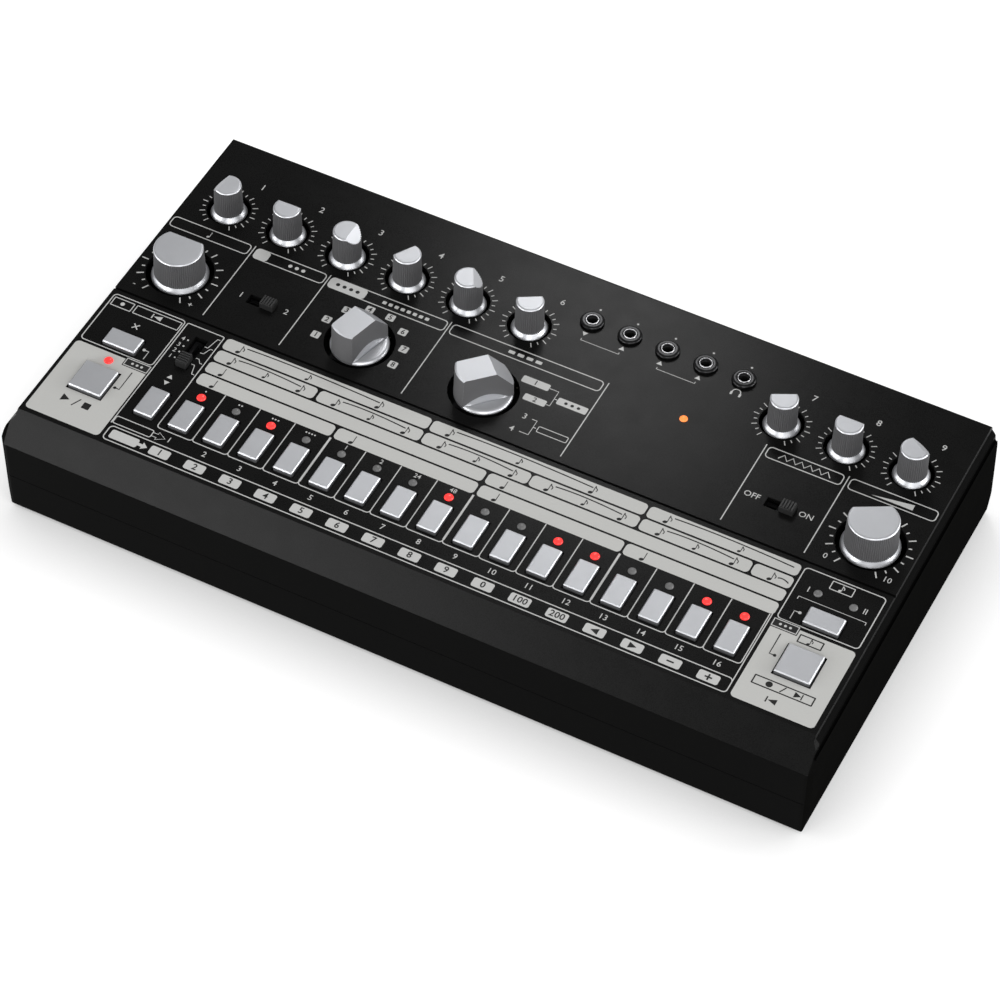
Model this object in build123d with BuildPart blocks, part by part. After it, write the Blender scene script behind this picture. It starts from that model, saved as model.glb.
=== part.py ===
from build123d import *
import os
from math import cos, radians, sin
from typing import NamedTuple

# Desktop drum machine with a gently sloping control panel.
# Origin: centre of the bounding box in X and Y, on the surface that the feet stand on.
# +X to the right, +Y to the back, +Z up. Millimetres.
# Panel coordinates: x across from the centre, y back from the panel's front edge,
# height measured along the panel's outward normal from its top surface.

os.makedirs("parts", exist_ok=True)

# ---- case ----
PANEL_W = 298.0
PANEL_D = 149.0
PANEL_T = 2.5
TILT = 1.9                      # degrees that the panel rises towards the back
WALL = 2.5
FOOT_H = 1.2
BASE_Z = FOOT_H
CORNER_R = 3.0
HALF_PANEL = PANEL_W / 2
HALF_SEAM = HALF_PANEL + 3.5    # the case is widest at the seam
HALF_BASE = HALF_PANEL + 1.95
CAVITY_HALF = HALF_PANEL
PANEL_FRONT = (0.58 - PANEL_D / 2, 44.67)     # Y and Z of the panel's front edge
LIP = (PANEL_FRONT[0] - 8.01, 33.25)          # lower edge of the long front bevel
FRONT_BASE_Y = PANEL_FRONT[0] - 6.16
REAR_BASE_Y = PANEL_D / 2 + 7.42
SEAM_Z = 17.2                   # where the two shells meet
SOCKET_WALL = PANEL_D / 2 + 0.5               # Y of the recess floor that holds the rear sockets
REAR_WALL_IN = SOCKET_WALL - WALL
RECESS_HALF = HALF_PANEL - 8.0
RECESS_Z = (18.8, 43.0)
TOP_EDGE_R = 1.0                # rounding of the panel's rear edge
LIP_R = 0.8
GROOVE_W = 1.0                  # groove across the panel
GROOVE_DEPTH = 0.8
SEAM_BEVEL = 0.4
BASE_BEVEL = 0.6

# ---- cheeks: offsets out from the panel's side edge, and heights under its surface ----
EDGE_STEP = (0.15, -2.0)
EDGE_FOOT = (1.6, -4.0)
SIDE_GROOVE_IN = (1.75, -6.1)
SIDE_GROOVE_BED = (2.2, -6.6)
SIDE_GROOVE_OUT = (2.65, -6.1)
SHOULDER_TOP = (2.65, -5.6)
SHOULDER_BULGE = (2.98, -6.9)
SHOULDER_FOOT = (3.1, -8.5)
CHEEK_FOOT_H = -27.5

# ---- control panel layout ----
KNOB_EDGE_X = HALF_PANEL - 16.3
KNOB_PITCH = (PANEL_W - 57.0) / 10
LEVEL_Y = PANEL_D - 32.4
GROOVE_Y = 64.35
DIAL_Y = GROOVE_Y + 17.45
INSTRUMENT_AT = (72.0 - KNOB_EDGE_X, DIAL_Y)
MODE_AT = (120.4 - KNOB_EDGE_X, DIAL_Y)
TEMPO_AT = (-KNOB_EDGE_X, DIAL_Y)
VOLUME_AT = (KNOB_EDGE_X, DIAL_Y)
SLIDER_X = KNOB_EDGE_X - 33.1
STEP_FIRST_X = 52.84 - HALF_PANEL
STEP_PITCH = (HALF_PANEL - 40.32 - STEP_FIRST_X) / 15
BUTTON_Y = 23.0
UPPER_BUTTON_Y = 43.05
END_BUTTON_X = HALF_PANEL - 16.2
FUNCTION_X = 23.15 - END_BUTTON_X
SCALE_SLOT = (23.2 - END_BUTTON_X, 49.7)
LED_ROW_Y = 33.4
START_LED_AT = (-0.2 - END_BUTTON_X, LED_ROW_Y)
GROUP_LED_Y = 53.45
GROUP_LED_XS = (END_BUTTON_X - 6.8, END_BUTTON_X + 6.0)
AMBER_LED_AT = (KNOB_EDGE_X - 78.6, LEVEL_Y - 14.3)
JACK_FIRST_X = 5 * KNOB_PITCH - KNOB_EDGE_X + 18.87
JACK_PITCH = (KNOB_EDGE_X - 2 * KNOB_PITCH - 19.51 - JACK_FIRST_X) / 4
JACK_Y = PANEL_D - 20.9

# ---- controls ----
SHAFT_R = 3.0
SHAFT_END = -9.0
SHAFT_SIDES = 12                # the shafts are splined
BORE_SIDES = 16
RUN_FIT = 0.05                  # radial clearance of a shaft in its bore
END_FIT = 0.3                   # clearance past the end of a shaft or a lever's foot
BUTTON_W = 7.75
BUTTON_L = 13.45
BUTTON_TOP = 1.6
BUTTON_BEVEL = 0.7
BUTTON_BEVEL_ANGLE = 24
BUTTON_GAP = 0.2
BUTTON_TRAVEL = 1.5
REST_GAP = 0.1                  # gap between a control and what it rests under
FLANGE = 0.6                    # how far a button's flange passes its cap
FLANGE_TOP = -PANEL_T - REST_GAP
FLANGE_T = 0.9
SLOT_L = 11.0
SLOT_W = 4.3
SCALE_SLOT_L = 15.3
SCALE_SLOT_W = 5.0
SLOT_GAP = 0.2
LEVER_L = 5.2
LEVER_W = 4.0
LEVER_TOP = 2.9
LEVER_BEVEL = 0.3
CARRIAGE_T = 1.0
CARRIAGE_RIM = 1.6
LED_R = 1.5
LED_TOP = 0.9
LED_SIDES = 10
JACK_BORE_R = 1.8
JACK_THREAD_R = 2.95
JACK_TOP = 2.2
JACK_DEPTH = 10.5
NUT_R = 4.25
NUT_T = 1.6
NUT_SIDES = 16

# ---- boards and rear sockets ----
BOARD_TOP = -10.0               # top of the control board below the panel's surface
BOARD_T = 1.6
CONTROL_BOARD_X = HALF_PANEL - 9.0
CONTROL_BOARD_Y = (4.0, PANEL_D - 16.5)
MAIN_BOARD_TOP = 20.0
MAIN_BOARD_Y = (SOCKET_WALL - 31.0, SOCKET_WALL - 3.2)
MAIN_BOARD_HALF = HALF_PANEL - 15.0
WINDOW_FIT = 0.1                # clearance round a socket in its window
SOCKET_DEPTH = 9.0              # depth of the square and many-sided mouths
DC_X = RECESS_HALF - 10.0
POWER_X = DC_X - 20.0
USB_X = POWER_X - 19.0
MIDI_X = (USB_X - 26.0, USB_X - 52.0)
OUTPUT_X = 29.0 - RECESS_HALF
REAR_JACK_PITCH = (MIDI_X[1] - OUTPUT_X - 54.0) / 7
REAR_JACK_X = [MIDI_X[1] - 28.0 - REAR_JACK_PITCH * index for index in range(8)]
REAR_JACK_W = 9.0
REAR_JACK_H = 9.6
REAR_JACK_BODY = 13.0
REAR_JACK_Z = MAIN_BOARD_TOP + REAR_JACK_H / 2
REAR_JACK_DEPTH = 10.0
MIDI_W = 20.4
MIDI_BODY = 14.8
MIDI_Z = MAIN_BOARD_TOP + MIDI_W / 2
MIDI_SIDES = 24
MIDI_MOUTH_R = 6.7
SMALL_SOCKET_H = 11.0           # height of the data and power sockets
SMALL_SOCKET_Z = MAIN_BOARD_TOP + SMALL_SOCKET_H / 2
USB_W = 12.0
USB_BODY = 16.4
USB_Z = SMALL_SOCKET_Z
USB_MOUTH = (8.5, 7.8)
DC_W = 9.0
DC_BODY = 14.0
DC_Z = SMALL_SOCKET_Z
DC_BORE_R = 3.0
DC_DEPTH = 9.5
OUTPUT_Z = 28.0
OUTPUT_W = 15.6
OUTPUT_BODY = 28.0
OUTPUT_BORE_R = 3.2
OUTPUT_DEPTH = 27.0
OUTPUT_THREAD_R = 4.8
OUTPUT_THREAD_TOP = 2.2
OUTPUT_NUT_R = 6.8
OUTPUT_NUT_T = 2.0
POWER_Z = 30.0
POWER_REST = 8.0                # degrees that the rocker leans when it is on
POWER_BODY = (17.4, 11.0)
POWER_BODY_DEPTH = 13.0
POWER_FLANGE = 0.9              # how far the switch's flange laps its body
POWER_FLANGE_T = 1.2
ROCKER_MOUTH = (15.6, 9.4)
ROCKER_DEPTH = 9.0
ROCKER_PIVOT_Y = SOCKET_WALL - 2.0

# ---- fasteners and feet ----
SCREW_R = 1.5
SCREW_L = 8.0
SCREW_HEAD_R = 2.8
SCREW_HEAD_T = 2.0
SCREW_HEAD_FIT = 0.3
POST_W = 6.0
BOSS_RIM = 1.2                  # how far a boss reaches round the post that stands on it
HEAD_SIDES = 12
SHANK_SIDES = 8
CASE_SCREW_X = HALF_PANEL - 4.5
CASE_SCREW_Y = (PANEL_FRONT[0] + 5.92, SOCKET_WALL - 15.0)
CASE_SCREWS = [(side * CASE_SCREW_X, y) for side in (-1, 1) for y in CASE_SCREW_Y]
CASE_SCREW_HEAD_Z = 4.2         # seat of a case screw's head
CASE_POST_Z = CASE_SCREW_HEAD_Z + 3           # where the upper posts stand on the lower bosses
BOARD_SCREW_BACK = (KNOB_EDGE_X - 1.5 * KNOB_PITCH, (DIAL_Y + LEVEL_Y) / 2)
BOARD_SCREW_FRONT = (KNOB_EDGE_X - 43.4, 46.0)
BOARD_SCREWS = [(side * x, y) for x, y in (BOARD_SCREW_BACK, BOARD_SCREW_FRONT) for side in (-1, 1)]
MAIN_BOARD_POST_Y = MAIN_BOARD_Y[0] + 4.0
MAIN_BOARD_POSTS = [(share * (MAIN_BOARD_HALF - 12.0), MAIN_BOARD_POST_Y) for share in (-1, 0, 1)]
FOOT_R = 6.0
FOOT_SIDES = 16
FEET = [(x * (HALF_PANEL - 21.0), y * (PANEL_D / 2 - 12.5)) for x in (-1, 1) for y in (-1, 1)]

ACROSS = Vector(1, 0, 0)
BACK = Vector(0, cos(radians(TILT)), sin(radians(TILT)))
OUT = Vector(0, -sin(radians(TILT)), cos(radians(TILT)))
PANEL = Plane(origin=(0, *PANEL_FRONT), x_dir=ACROSS, z_dir=OUT)
UP_PANEL = Axis((0, 0, 0), OUT)
REAR_FACE = Plane(origin=(0, SOCKET_WALL, 0), x_dir=(-1, 0, 0), z_dir=(0, 1, 0))


def level(height):
    """Plane parallel to the panel at a height above its surface."""
    return PANEL.offset(height)


def on_panel(x, y, height):
    """World point of a place on the panel."""
    return PANEL.origin + ACROSS * x + BACK * y + OUT * height


REAR_EDGE = on_panel(0, PANEL_D, 0)


def panel_height(world_y):
    """World Z of the panel's surface over a place on the desk."""
    run = world_y - PANEL_FRONT[0]
    return PANEL_FRONT[1] + run * sin(radians(TILT)) / cos(radians(TILT))


def rear(depth):
    """Plane parallel to the socket wall, its distance counted out from the wall."""
    return REAR_FACE.offset(depth)


def on_rear(x, z):
    """Sketch point on a rear plane for a world X and Z."""
    return (-x, z)


def window(width, height):
    """Opening round a rear socket, inside the current sketch."""
    Rectangle(width + 2 * WINDOW_FIT, height + 2 * WINDOW_FIT)


def save(piece, name):
    """Label a finished piece and write it."""
    piece.part.label = name
    export_step(piece.part, f"parts/{name}.step")


STEP_XS = [STEP_FIRST_X + STEP_PITCH * index for index in range(16)]
LEVEL_XS = [-KNOB_EDGE_X + KNOB_PITCH * index for index in range(6)]
LEVEL_XS += [KNOB_EDGE_X - KNOB_PITCH * index for index in (2, 1, 0)]
LEVEL_ANGLES = [-88.0, 0.0, 90.0, -58.7, 62.4, -30.5, -27.6, 0.0, 33.7]
JACK_XS = [JACK_FIRST_X + JACK_PITCH * index for index in range(5)]
LONG_BUTTONS = [(x, BUTTON_Y) for x in STEP_XS] + [(FUNCTION_X, BUTTON_Y)]
WIDE_BUTTONS = [(-END_BUTTON_X, UPPER_BUTTON_Y), (END_BUTTON_X, UPPER_BUTTON_Y)]
SQUARE_BUTTONS = [(-END_BUTTON_X, BUTTON_Y), (END_BUTTON_X, BUTTON_Y)]
LIT_STEPS = (1, 3, 8, 11, 12, 15, 16)
LIT_LEDS = [(STEP_XS[step - 1], LED_ROW_Y) for step in LIT_STEPS] + [START_LED_AT]
GROUP_LEDS = [(x, GROUP_LED_Y) for x in GROUP_LED_XS]
UNLIT_LEDS = [(STEP_XS[i], LED_ROW_Y) for i in range(16) if i + 1 not in LIT_STEPS] + GROUP_LEDS
SIDE_SLOTS = [(-SLIDER_X, DIAL_Y), (SLIDER_X, DIAL_Y)]

SMALL_WELL_R = 8.0
LARGE_WELL_R = 12.2
SELECTOR_WELL_R = 12.6
SMALL_WELL_SIDES = 24
WELL_SIDES = 32


def side_outline():
    """Outline of the whole case seen from its side."""
    with BuildSketch(Plane.YZ) as outline:
        with BuildLine():
            Polyline(
                (FRONT_BASE_Y, BASE_Z),
                LIP,
                PANEL_FRONT,
                (REAR_EDGE.Y, REAR_EDGE.Z),
                (REAR_BASE_Y, BASE_Z),
                close=True,
            )
        make_face()
    return outline.sketch_local


def round_corners():
    """Round the upright corners of a shell, along the lean of its front and of its rear face."""
    front_lean = Vector(0, LIP[0] - FRONT_BASE_Y, LIP[1] - BASE_Z)
    rear_lean = Vector(0, REAR_EDGE.Y - REAR_BASE_Y, REAR_EDGE.Z - BASE_Z)
    for foot_y, lean, inward in ((FRONT_BASE_Y, front_lean, 1), (REAR_BASE_Y, rear_lean, -1)):
        foot = Plane(origin=(0, foot_y, BASE_Z), x_dir=ACROSS, z_dir=lean)
        with BuildSketch(foot) as section:
            with Locations((0, inward * 150)):
                RectangleRounded(2 * HALF_SEAM, 300, CORNER_R)
        extrude(section.sketch, amount=200, both=True, mode=Mode.INTERSECT)


def beside(offset):
    """Point of the cheek's section, from an offset beside the panel's edge and a height."""
    return (HALF_PANEL + offset[0], offset[1])


# ---- top case: upper shell with the control panel ----
with BuildPart() as top_case:
    with BuildSketch(Plane.YZ) as side:
        add(side_outline())
        with Locations((0, SEAM_Z - 50)):
            Rectangle(400, 100, mode=Mode.SUBTRACT)
        fillet(side.vertices().sort_by(Axis.Y)[-1], TOP_EDGE_R)
        fillet(side.vertices().sort_by(Axis.X)[0], LIP_R)
    extrude(amount=HALF_SEAM + 5, both=True)
    # cheek section: panel edge, narrow groove, rounded shoulder, slight draft to the seam
    with BuildSketch(Plane(origin=on_panel(0, 200, 0), x_dir=ACROSS, z_dir=-BACK)) as cheek:
        with BuildLine():
            Polyline(
                (0, 0),
                (HALF_PANEL, 0),
                beside(EDGE_STEP),
                beside(EDGE_FOOT),
                beside(SIDE_GROOVE_IN),
            )
            ThreePointArc(beside(SIDE_GROOVE_IN), beside(SIDE_GROOVE_BED), beside(SIDE_GROOVE_OUT))
            Line(beside(SIDE_GROOVE_OUT), beside(SHOULDER_TOP))
            ThreePointArc(beside(SHOULDER_TOP), beside(SHOULDER_BULGE), beside(SHOULDER_FOOT))
            Polyline(
                beside(SHOULDER_FOOT),
                (HALF_SEAM, CHEEK_FOOT_H),
                (HALF_SEAM, -60),
                (0, -60),
            )
            mirror(about=Plane.YZ)
        make_face()
    extrude(amount=300, mode=Mode.INTERSECT)
    round_corners()
    # inside of the shell
    with BuildSketch(Plane.YZ) as cavity:
        add(side_outline())
        offset(amount=-WALL)
        with Locations((REAR_WALL_IN + 50, 0)):
            Rectangle(100, 200, mode=Mode.SUBTRACT)
    extrude(amount=CAVITY_HALF, both=True, mode=Mode.SUBTRACT)
    # recess for the rear sockets
    with BuildSketch(REAR_FACE):
        with Locations((0, sum(RECESS_Z) / 2)):
            Rectangle(2 * RECESS_HALF, RECESS_Z[1] - RECESS_Z[0])
    extrude(amount=20, mode=Mode.SUBTRACT)
    # wells, windows, slots and holes through the panel
    with BuildSketch(level(1)):
        with Locations(*[(x, LEVEL_Y) for x in LEVEL_XS]):
            RegularPolygon(SMALL_WELL_R, SMALL_WELL_SIDES)
        with Locations(TEMPO_AT, VOLUME_AT):
            RegularPolygon(LARGE_WELL_R, WELL_SIDES)
        with Locations(INSTRUMENT_AT, MODE_AT):
            RegularPolygon(SELECTOR_WELL_R, WELL_SIDES)
        with Locations(*[(x, JACK_Y) for x in JACK_XS]):
            RegularPolygon(JACK_THREAD_R + RUN_FIT, NUT_SIDES, major_radius=False)
        with Locations(*LONG_BUTTONS):
            Rectangle(BUTTON_W + 2 * BUTTON_GAP, BUTTON_L + 2 * BUTTON_GAP)
        with Locations(*WIDE_BUTTONS):
            Rectangle(BUTTON_L + 2 * BUTTON_GAP, BUTTON_W + 2 * BUTTON_GAP)
        with Locations(*SQUARE_BUTTONS):
            Rectangle(BUTTON_L + 2 * BUTTON_GAP, BUTTON_L + 2 * BUTTON_GAP)
        with Locations(*SIDE_SLOTS):
            Rectangle(SLOT_L, SLOT_W)
        with Locations(SCALE_SLOT):
            Rectangle(SCALE_SLOT_W, SCALE_SLOT_L)
    extrude(amount=-(PANEL_T + 1.5), mode=Mode.SUBTRACT)
    # groove across the panel
    with BuildSketch(level(0)):
        with Locations((0, GROOVE_Y)):
            Rectangle(2 * HALF_SEAM, GROOVE_W)
    extrude(amount=-GROOVE_DEPTH, mode=Mode.SUBTRACT)
    # holes through the socket wall
    with BuildSketch(rear(1)):
        with Locations(*[on_rear(x, REAR_JACK_Z) for x in REAR_JACK_X]):
            window(REAR_JACK_W, REAR_JACK_H)
        with Locations(*[on_rear(x, MIDI_Z) for x in MIDI_X]):
            window(MIDI_W, MIDI_W)
        with Locations(on_rear(OUTPUT_X, OUTPUT_Z)):
            Circle(OUTPUT_THREAD_R + WINDOW_FIT)
        with Locations(on_rear(USB_X, USB_Z)):
            window(USB_W, SMALL_SOCKET_H)
        with Locations(on_rear(DC_X, DC_Z)):
            window(DC_W, SMALL_SOCKET_H)
        with Locations(on_rear(POWER_X, POWER_Z)):
            window(*POWER_BODY)
    extrude(amount=-WALL - 2, mode=Mode.SUBTRACT)
    # pillars that the control board hangs from
    with BuildSketch(level(BOARD_TOP)):
        with Locations(*BOARD_SCREWS):
            Rectangle(POST_W, POST_W)
    extrude(amount=-BOARD_TOP - 1)
    # corner posts that take the case screws
    for post_x, post_y in CASE_SCREWS:
        with BuildSketch(Plane.XY.offset(CASE_POST_Z)):
            with Locations((post_x, post_y)):
                Rectangle(POST_W, POST_W)
        extrude(amount=panel_height(post_y - POST_W / 2) - CASE_POST_Z - 1.5)
save(top_case, "top_case")

# ---- bottom case: lower tray ----
TRAY_HALF = HALF_BASE - 2.75
TRAY_Y = (FRONT_BASE_Y + WALL, REAR_BASE_Y - 5.42)
TONGUE_T = 1.2
TONGUE_GAP = 0.1                # gap between the tongue and the upper shell
TONGUE_FRONT = FRONT_BASE_Y + 1.78
TONGUE_SIDES_Y = (FRONT_BASE_Y + 3.08, SOCKET_WALL - 6.0)
TONGUE_BELOW = 3.0
TONGUE_ABOVE = 2.0
with BuildPart() as bottom_case:
    with BuildSketch(Plane.YZ) as lower_side:
        add(side_outline())
        with Locations((0, SEAM_Z + 50)):
            Rectangle(400, 100, mode=Mode.SUBTRACT)
        chamfer(lower_side.vertices().group_by(Axis.Y)[-1], SEAM_BEVEL)
        chamfer(lower_side.vertices().group_by(Axis.Y)[0], BASE_BEVEL)
    extrude(amount=HALF_SEAM + 5, both=True)
    with BuildSketch(Plane.XZ) as lower_section:
        with BuildLine():
            Polyline((0, BASE_Z), (HALF_BASE, BASE_Z), (HALF_SEAM, SEAM_Z), (0, SEAM_Z))
            mirror(about=Plane.YZ)
        make_face()
        chamfer(lower_section.vertices().group_by(Axis.Y)[-1], SEAM_BEVEL)
        chamfer(lower_section.vertices().group_by(Axis.Y)[0], BASE_BEVEL)
    extrude(amount=200, both=True, mode=Mode.INTERSECT)
    round_corners()
    with BuildSketch(Plane.XY.offset(BASE_Z + WALL)):
        with Locations((0, sum(TRAY_Y) / 2)):
            Rectangle(2 * TRAY_HALF, TRAY_Y[1] - TRAY_Y[0])
    extrude(amount=SEAM_Z, mode=Mode.SUBTRACT)
    # tongue that locates the upper shell
    with BuildSketch(Plane.XY.offset(SEAM_Z - TONGUE_BELOW)):
        for side_sign in (-1, 1):
            tongue_x = side_sign * (CAVITY_HALF - TONGUE_GAP - TONGUE_T / 2)
            with Locations((tongue_x, sum(TONGUE_SIDES_Y) / 2)):
                Rectangle(TONGUE_T, TONGUE_SIDES_Y[1] - TONGUE_SIDES_Y[0])
        with Locations((0, TONGUE_FRONT + TONGUE_T / 2)):
            Rectangle(2 * (CAVITY_HALF - TONGUE_GAP), TONGUE_T)
    extrude(amount=TONGUE_BELOW + TONGUE_ABOVE)
    # bosses under the corner posts, and posts under the main board
    with BuildSketch(Plane.XY.offset(BASE_Z)):
        with Locations(*CASE_SCREWS):
            Rectangle(POST_W + 2 * BOSS_RIM, POST_W + 2 * BOSS_RIM)
    extrude(amount=CASE_POST_Z - BASE_Z)
    with BuildSketch(Plane.XY.offset(BASE_Z + 1)):
        with Locations(*MAIN_BOARD_POSTS):
            Rectangle(POST_W, POST_W)
    extrude(amount=MAIN_BOARD_TOP - BOARD_T - BASE_Z - 1)
    # pockets for the heads of the case screws
    with BuildSketch(Plane.XY.offset(BASE_Z)):
        with Locations(*CASE_SCREWS):
            RegularPolygon(SCREW_HEAD_R + SCREW_HEAD_FIT, HEAD_SIDES, major_radius=False)
    extrude(amount=CASE_SCREW_HEAD_Z - BASE_Z, mode=Mode.SUBTRACT)
save(bottom_case, "bottom_case")

# ---- boards ----
with BuildPart() as control_board:
    with BuildSketch(level(BOARD_TOP)):
        with Locations((0, sum(CONTROL_BOARD_Y) / 2)):
            Rectangle(2 * CONTROL_BOARD_X, CONTROL_BOARD_Y[1] - CONTROL_BOARD_Y[0])
    extrude(amount=-BOARD_T)
save(control_board, "control_board")

with BuildPart() as main_board:
    with BuildSketch(Plane.XY.offset(MAIN_BOARD_TOP)):
        with Locations((0, sum(MAIN_BOARD_Y) / 2)):
            Rectangle(2 * MAIN_BOARD_HALF, MAIN_BOARD_Y[1] - MAIN_BOARD_Y[0])
    extrude(amount=-BOARD_T)
save(main_board, "main_board")


class Control(NamedTuple):
    """Body on the control board that a shaft turns in."""

    width: float
    depth: float
    top: float


POT = Control(9.8, 11.0, -4.2)
ROTARY = Control(16.0, 16.0, -4.2)


def shaft_bodies(name, places, control):
    """Bodies on the control board, each with a blind bore for its shaft."""
    with BuildPart() as bodies:
        with BuildSketch(level(BOARD_TOP)):
            with Locations(*places):
                Rectangle(control.width, control.depth)
        extrude(amount=control.top - BOARD_TOP)
        with BuildSketch(level(control.top)):
            with Locations(*places):
                RegularPolygon(SHAFT_R + RUN_FIT, BORE_SIDES, major_radius=False)
        extrude(amount=SHAFT_END - END_FIT - control.top, mode=Mode.SUBTRACT)
    save(bodies, name)


shaft_bodies("small_pots", [(x, LEVEL_Y) for x in LEVEL_XS], POT)
shaft_bodies("large_pots", [TEMPO_AT, VOLUME_AT], POT)
shaft_bodies("rotary_switches", [INSTRUMENT_AT, MODE_AT], ROTARY)

# ---- switches under the buttons ----
TACT_SIZE = 6.0
TACT_TOP = FLANGE_TOP - FLANGE_T - BUTTON_TRAVEL - REST_GAP
with BuildPart() as tact_switches:
    with BuildSketch(level(BOARD_TOP)):
        with Locations(*LONG_BUTTONS, *WIDE_BUTTONS, *SQUARE_BUTTONS):
            Rectangle(TACT_SIZE, TACT_SIZE)
    extrude(amount=TACT_TOP - BOARD_TOP)
save(tact_switches, "tact_switches")

# ---- slide switches, each open along the run of its lever's foot ----
SLIDE_TOP = FLANGE_TOP - CARRIAGE_T - REST_GAP
SLIDE_END = 2.5                 # wall past each end of a slide switch's run
SLIDE_SIDE = 2.0
FOOT_W = 3.0
FOOT_DEPTH = 2.6
with BuildPart() as slide_switches:
    with BuildSketch(level(BOARD_TOP)):
        with Locations(*SIDE_SLOTS):
            Rectangle(SLOT_L + 2 * SLIDE_END, FOOT_W + 2 * SLIDE_SIDE)
        with Locations(SCALE_SLOT):
            Rectangle(FOOT_W + 2 * SLIDE_SIDE, SCALE_SLOT_L + 2 * SLIDE_END)
    extrude(amount=SLIDE_TOP - BOARD_TOP)
    with BuildSketch(level(SLIDE_TOP)):
        with Locations(*SIDE_SLOTS):
            Rectangle(SLOT_L, FOOT_W + 2 * SLOT_GAP)
        with Locations(SCALE_SLOT):
            Rectangle(FOOT_W + 2 * SLOT_GAP, SCALE_SLOT_L)
    extrude(amount=-FOOT_DEPTH - END_FIT, mode=Mode.SUBTRACT)
save(slide_switches, "slide_switches")


def slide_lever(name, at, along_x):
    """Lever with a carriage under the panel and a foot in its switch."""
    across = (LEVER_L, LEVER_W) if along_x else (LEVER_W, LEVER_L)
    carriage = (across[0] + 2 * CARRIAGE_RIM, across[1] + 2 * CARRIAGE_RIM)
    foot = (LEVER_L, FOOT_W) if along_x else (FOOT_W, LEVER_L)
    with BuildPart() as lever:
        with BuildSketch(level(FLANGE_TOP - CARRIAGE_T)):
            with Locations(at):
                Rectangle(*across)
        extrude(amount=LEVER_TOP - FLANGE_TOP + CARRIAGE_T)
        chamfer(lever.faces().sort_by(UP_PANEL)[-1].edges(), LEVER_BEVEL)
        with BuildSketch(level(FLANGE_TOP - CARRIAGE_T)):
            with Locations(at):
                Rectangle(*carriage)
        extrude(amount=CARRIAGE_T)
        with BuildSketch(level(FLANGE_TOP - CARRIAGE_T)):
            with Locations(at):
                Rectangle(*foot)
        extrude(amount=-FOOT_DEPTH)
    save(lever, name)


SIDE_REST = SLOT_L / 2 - SLOT_GAP - LEVER_L / 2
SCALE_REST = SCALE_SLOT_L / 2 - SLOT_GAP - LEVER_L / 2
slide_lever("select_slider", (SIDE_SLOTS[0][0] + SIDE_REST, DIAL_Y), True)
slide_lever("on_off_slider", (SIDE_SLOTS[1][0] + SIDE_REST, DIAL_Y), True)
slide_lever("scale_slider", (SCALE_SLOT[0], SCALE_SLOT[1] - SCALE_REST), False)


def push_button(name, at, width, depth):
    """Cap through the panel, with a flange that holds it in and presses its switch."""
    with BuildPart() as button:
        with BuildSketch(level(FLANGE_TOP - FLANGE_T)):
            with Locations(at):
                Rectangle(width, depth)
        extrude(amount=BUTTON_TOP - BUTTON_BEVEL - FLANGE_TOP + FLANGE_T)
        with BuildSketch(level(BUTTON_TOP - BUTTON_BEVEL)):
            with Locations(at):
                Rectangle(width, depth)
        extrude(amount=BUTTON_BEVEL, taper=BUTTON_BEVEL_ANGLE)
        with BuildSketch(level(FLANGE_TOP - FLANGE_T)):
            with Locations(at):
                Rectangle(width + 2 * FLANGE, depth + 2 * FLANGE)
        extrude(amount=FLANGE_T)
    save(button, name)


for number, step_x in enumerate(STEP_XS, start=1):
    push_button(f"step_button_{number:02d}", (step_x, BUTTON_Y), BUTTON_W, BUTTON_L)
push_button("function_button", (FUNCTION_X, BUTTON_Y), BUTTON_W, BUTTON_L)
push_button("clear_button", WIDE_BUTTONS[0], BUTTON_L, BUTTON_W)
push_button("group_button", WIDE_BUTTONS[1], BUTTON_L, BUTTON_W)
push_button("start_button", SQUARE_BUTTONS[0], BUTTON_L, BUTTON_L)
push_button("write_button", SQUARE_BUTTONS[1], BUTTON_L, BUTTON_L)


class Knob(NamedTuple):
    """Sizes of a turning knob: heights from the panel's surface, radii from its axis."""

    top: float
    top_r: float
    body_r: float
    skirt_top: float
    skirt_r: float
    skirt_bottom: float
    facet_chord: float
    facet_slope: float
    ribs: int


SMALL = Knob(12.6, 5.05, 5.37, 0.75, 6.67, -1.5, 1.7, 48.0, 20)
LARGE = Knob(12.1, 8.84, 9.3, 0.65, 10.47, -1.6, 5.4, 66.0, 32)


def pointer_cut(at, angle, height, chord, slope):
    """Plane of a pointer facet. The angle is clockwise from the back of the panel."""
    toward = ACROSS * sin(radians(angle)) + BACK * cos(radians(angle))
    normal = toward * sin(radians(slope)) + OUT * cos(radians(slope))
    origin = on_panel(at[0], at[1], height) + toward * chord
    return Plane(origin=origin, z_dir=normal)


def shaft(at, start):
    """Round shaft from the underside of a knob into its bore."""
    with BuildSketch(level(start)) as section:
        with Locations(at):
            RegularPolygon(SHAFT_R, SHAFT_SIDES)
    extrude(section.sketch, amount=SHAFT_END - start)


def turning_knob(name, at, knob, angle):
    """Ribbed cap with a pointer facet, a flared skirt and a shaft."""
    with BuildPart() as cap:
        with BuildSketch(level(knob.skirt_top)):
            with Locations(at):
                RegularPolygon(knob.body_r, knob.ribs)
        with BuildSketch(level(knob.top)):
            with Locations(at):
                RegularPolygon(knob.top_r, knob.ribs)
        loft()
        facet = pointer_cut(at, angle, knob.top, knob.facet_chord, knob.facet_slope)
        split(bisect_by=facet, keep=Keep.BOTTOM)
        with BuildSketch(level(knob.skirt_bottom)):
            with Locations(at):
                RegularPolygon(knob.skirt_r, knob.ribs)
        with BuildSketch(level(knob.skirt_top)):
            with Locations(at):
                RegularPolygon(knob.body_r, knob.ribs)
        loft()
        shaft(at, knob.skirt_bottom)
    save(cap, name)


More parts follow.
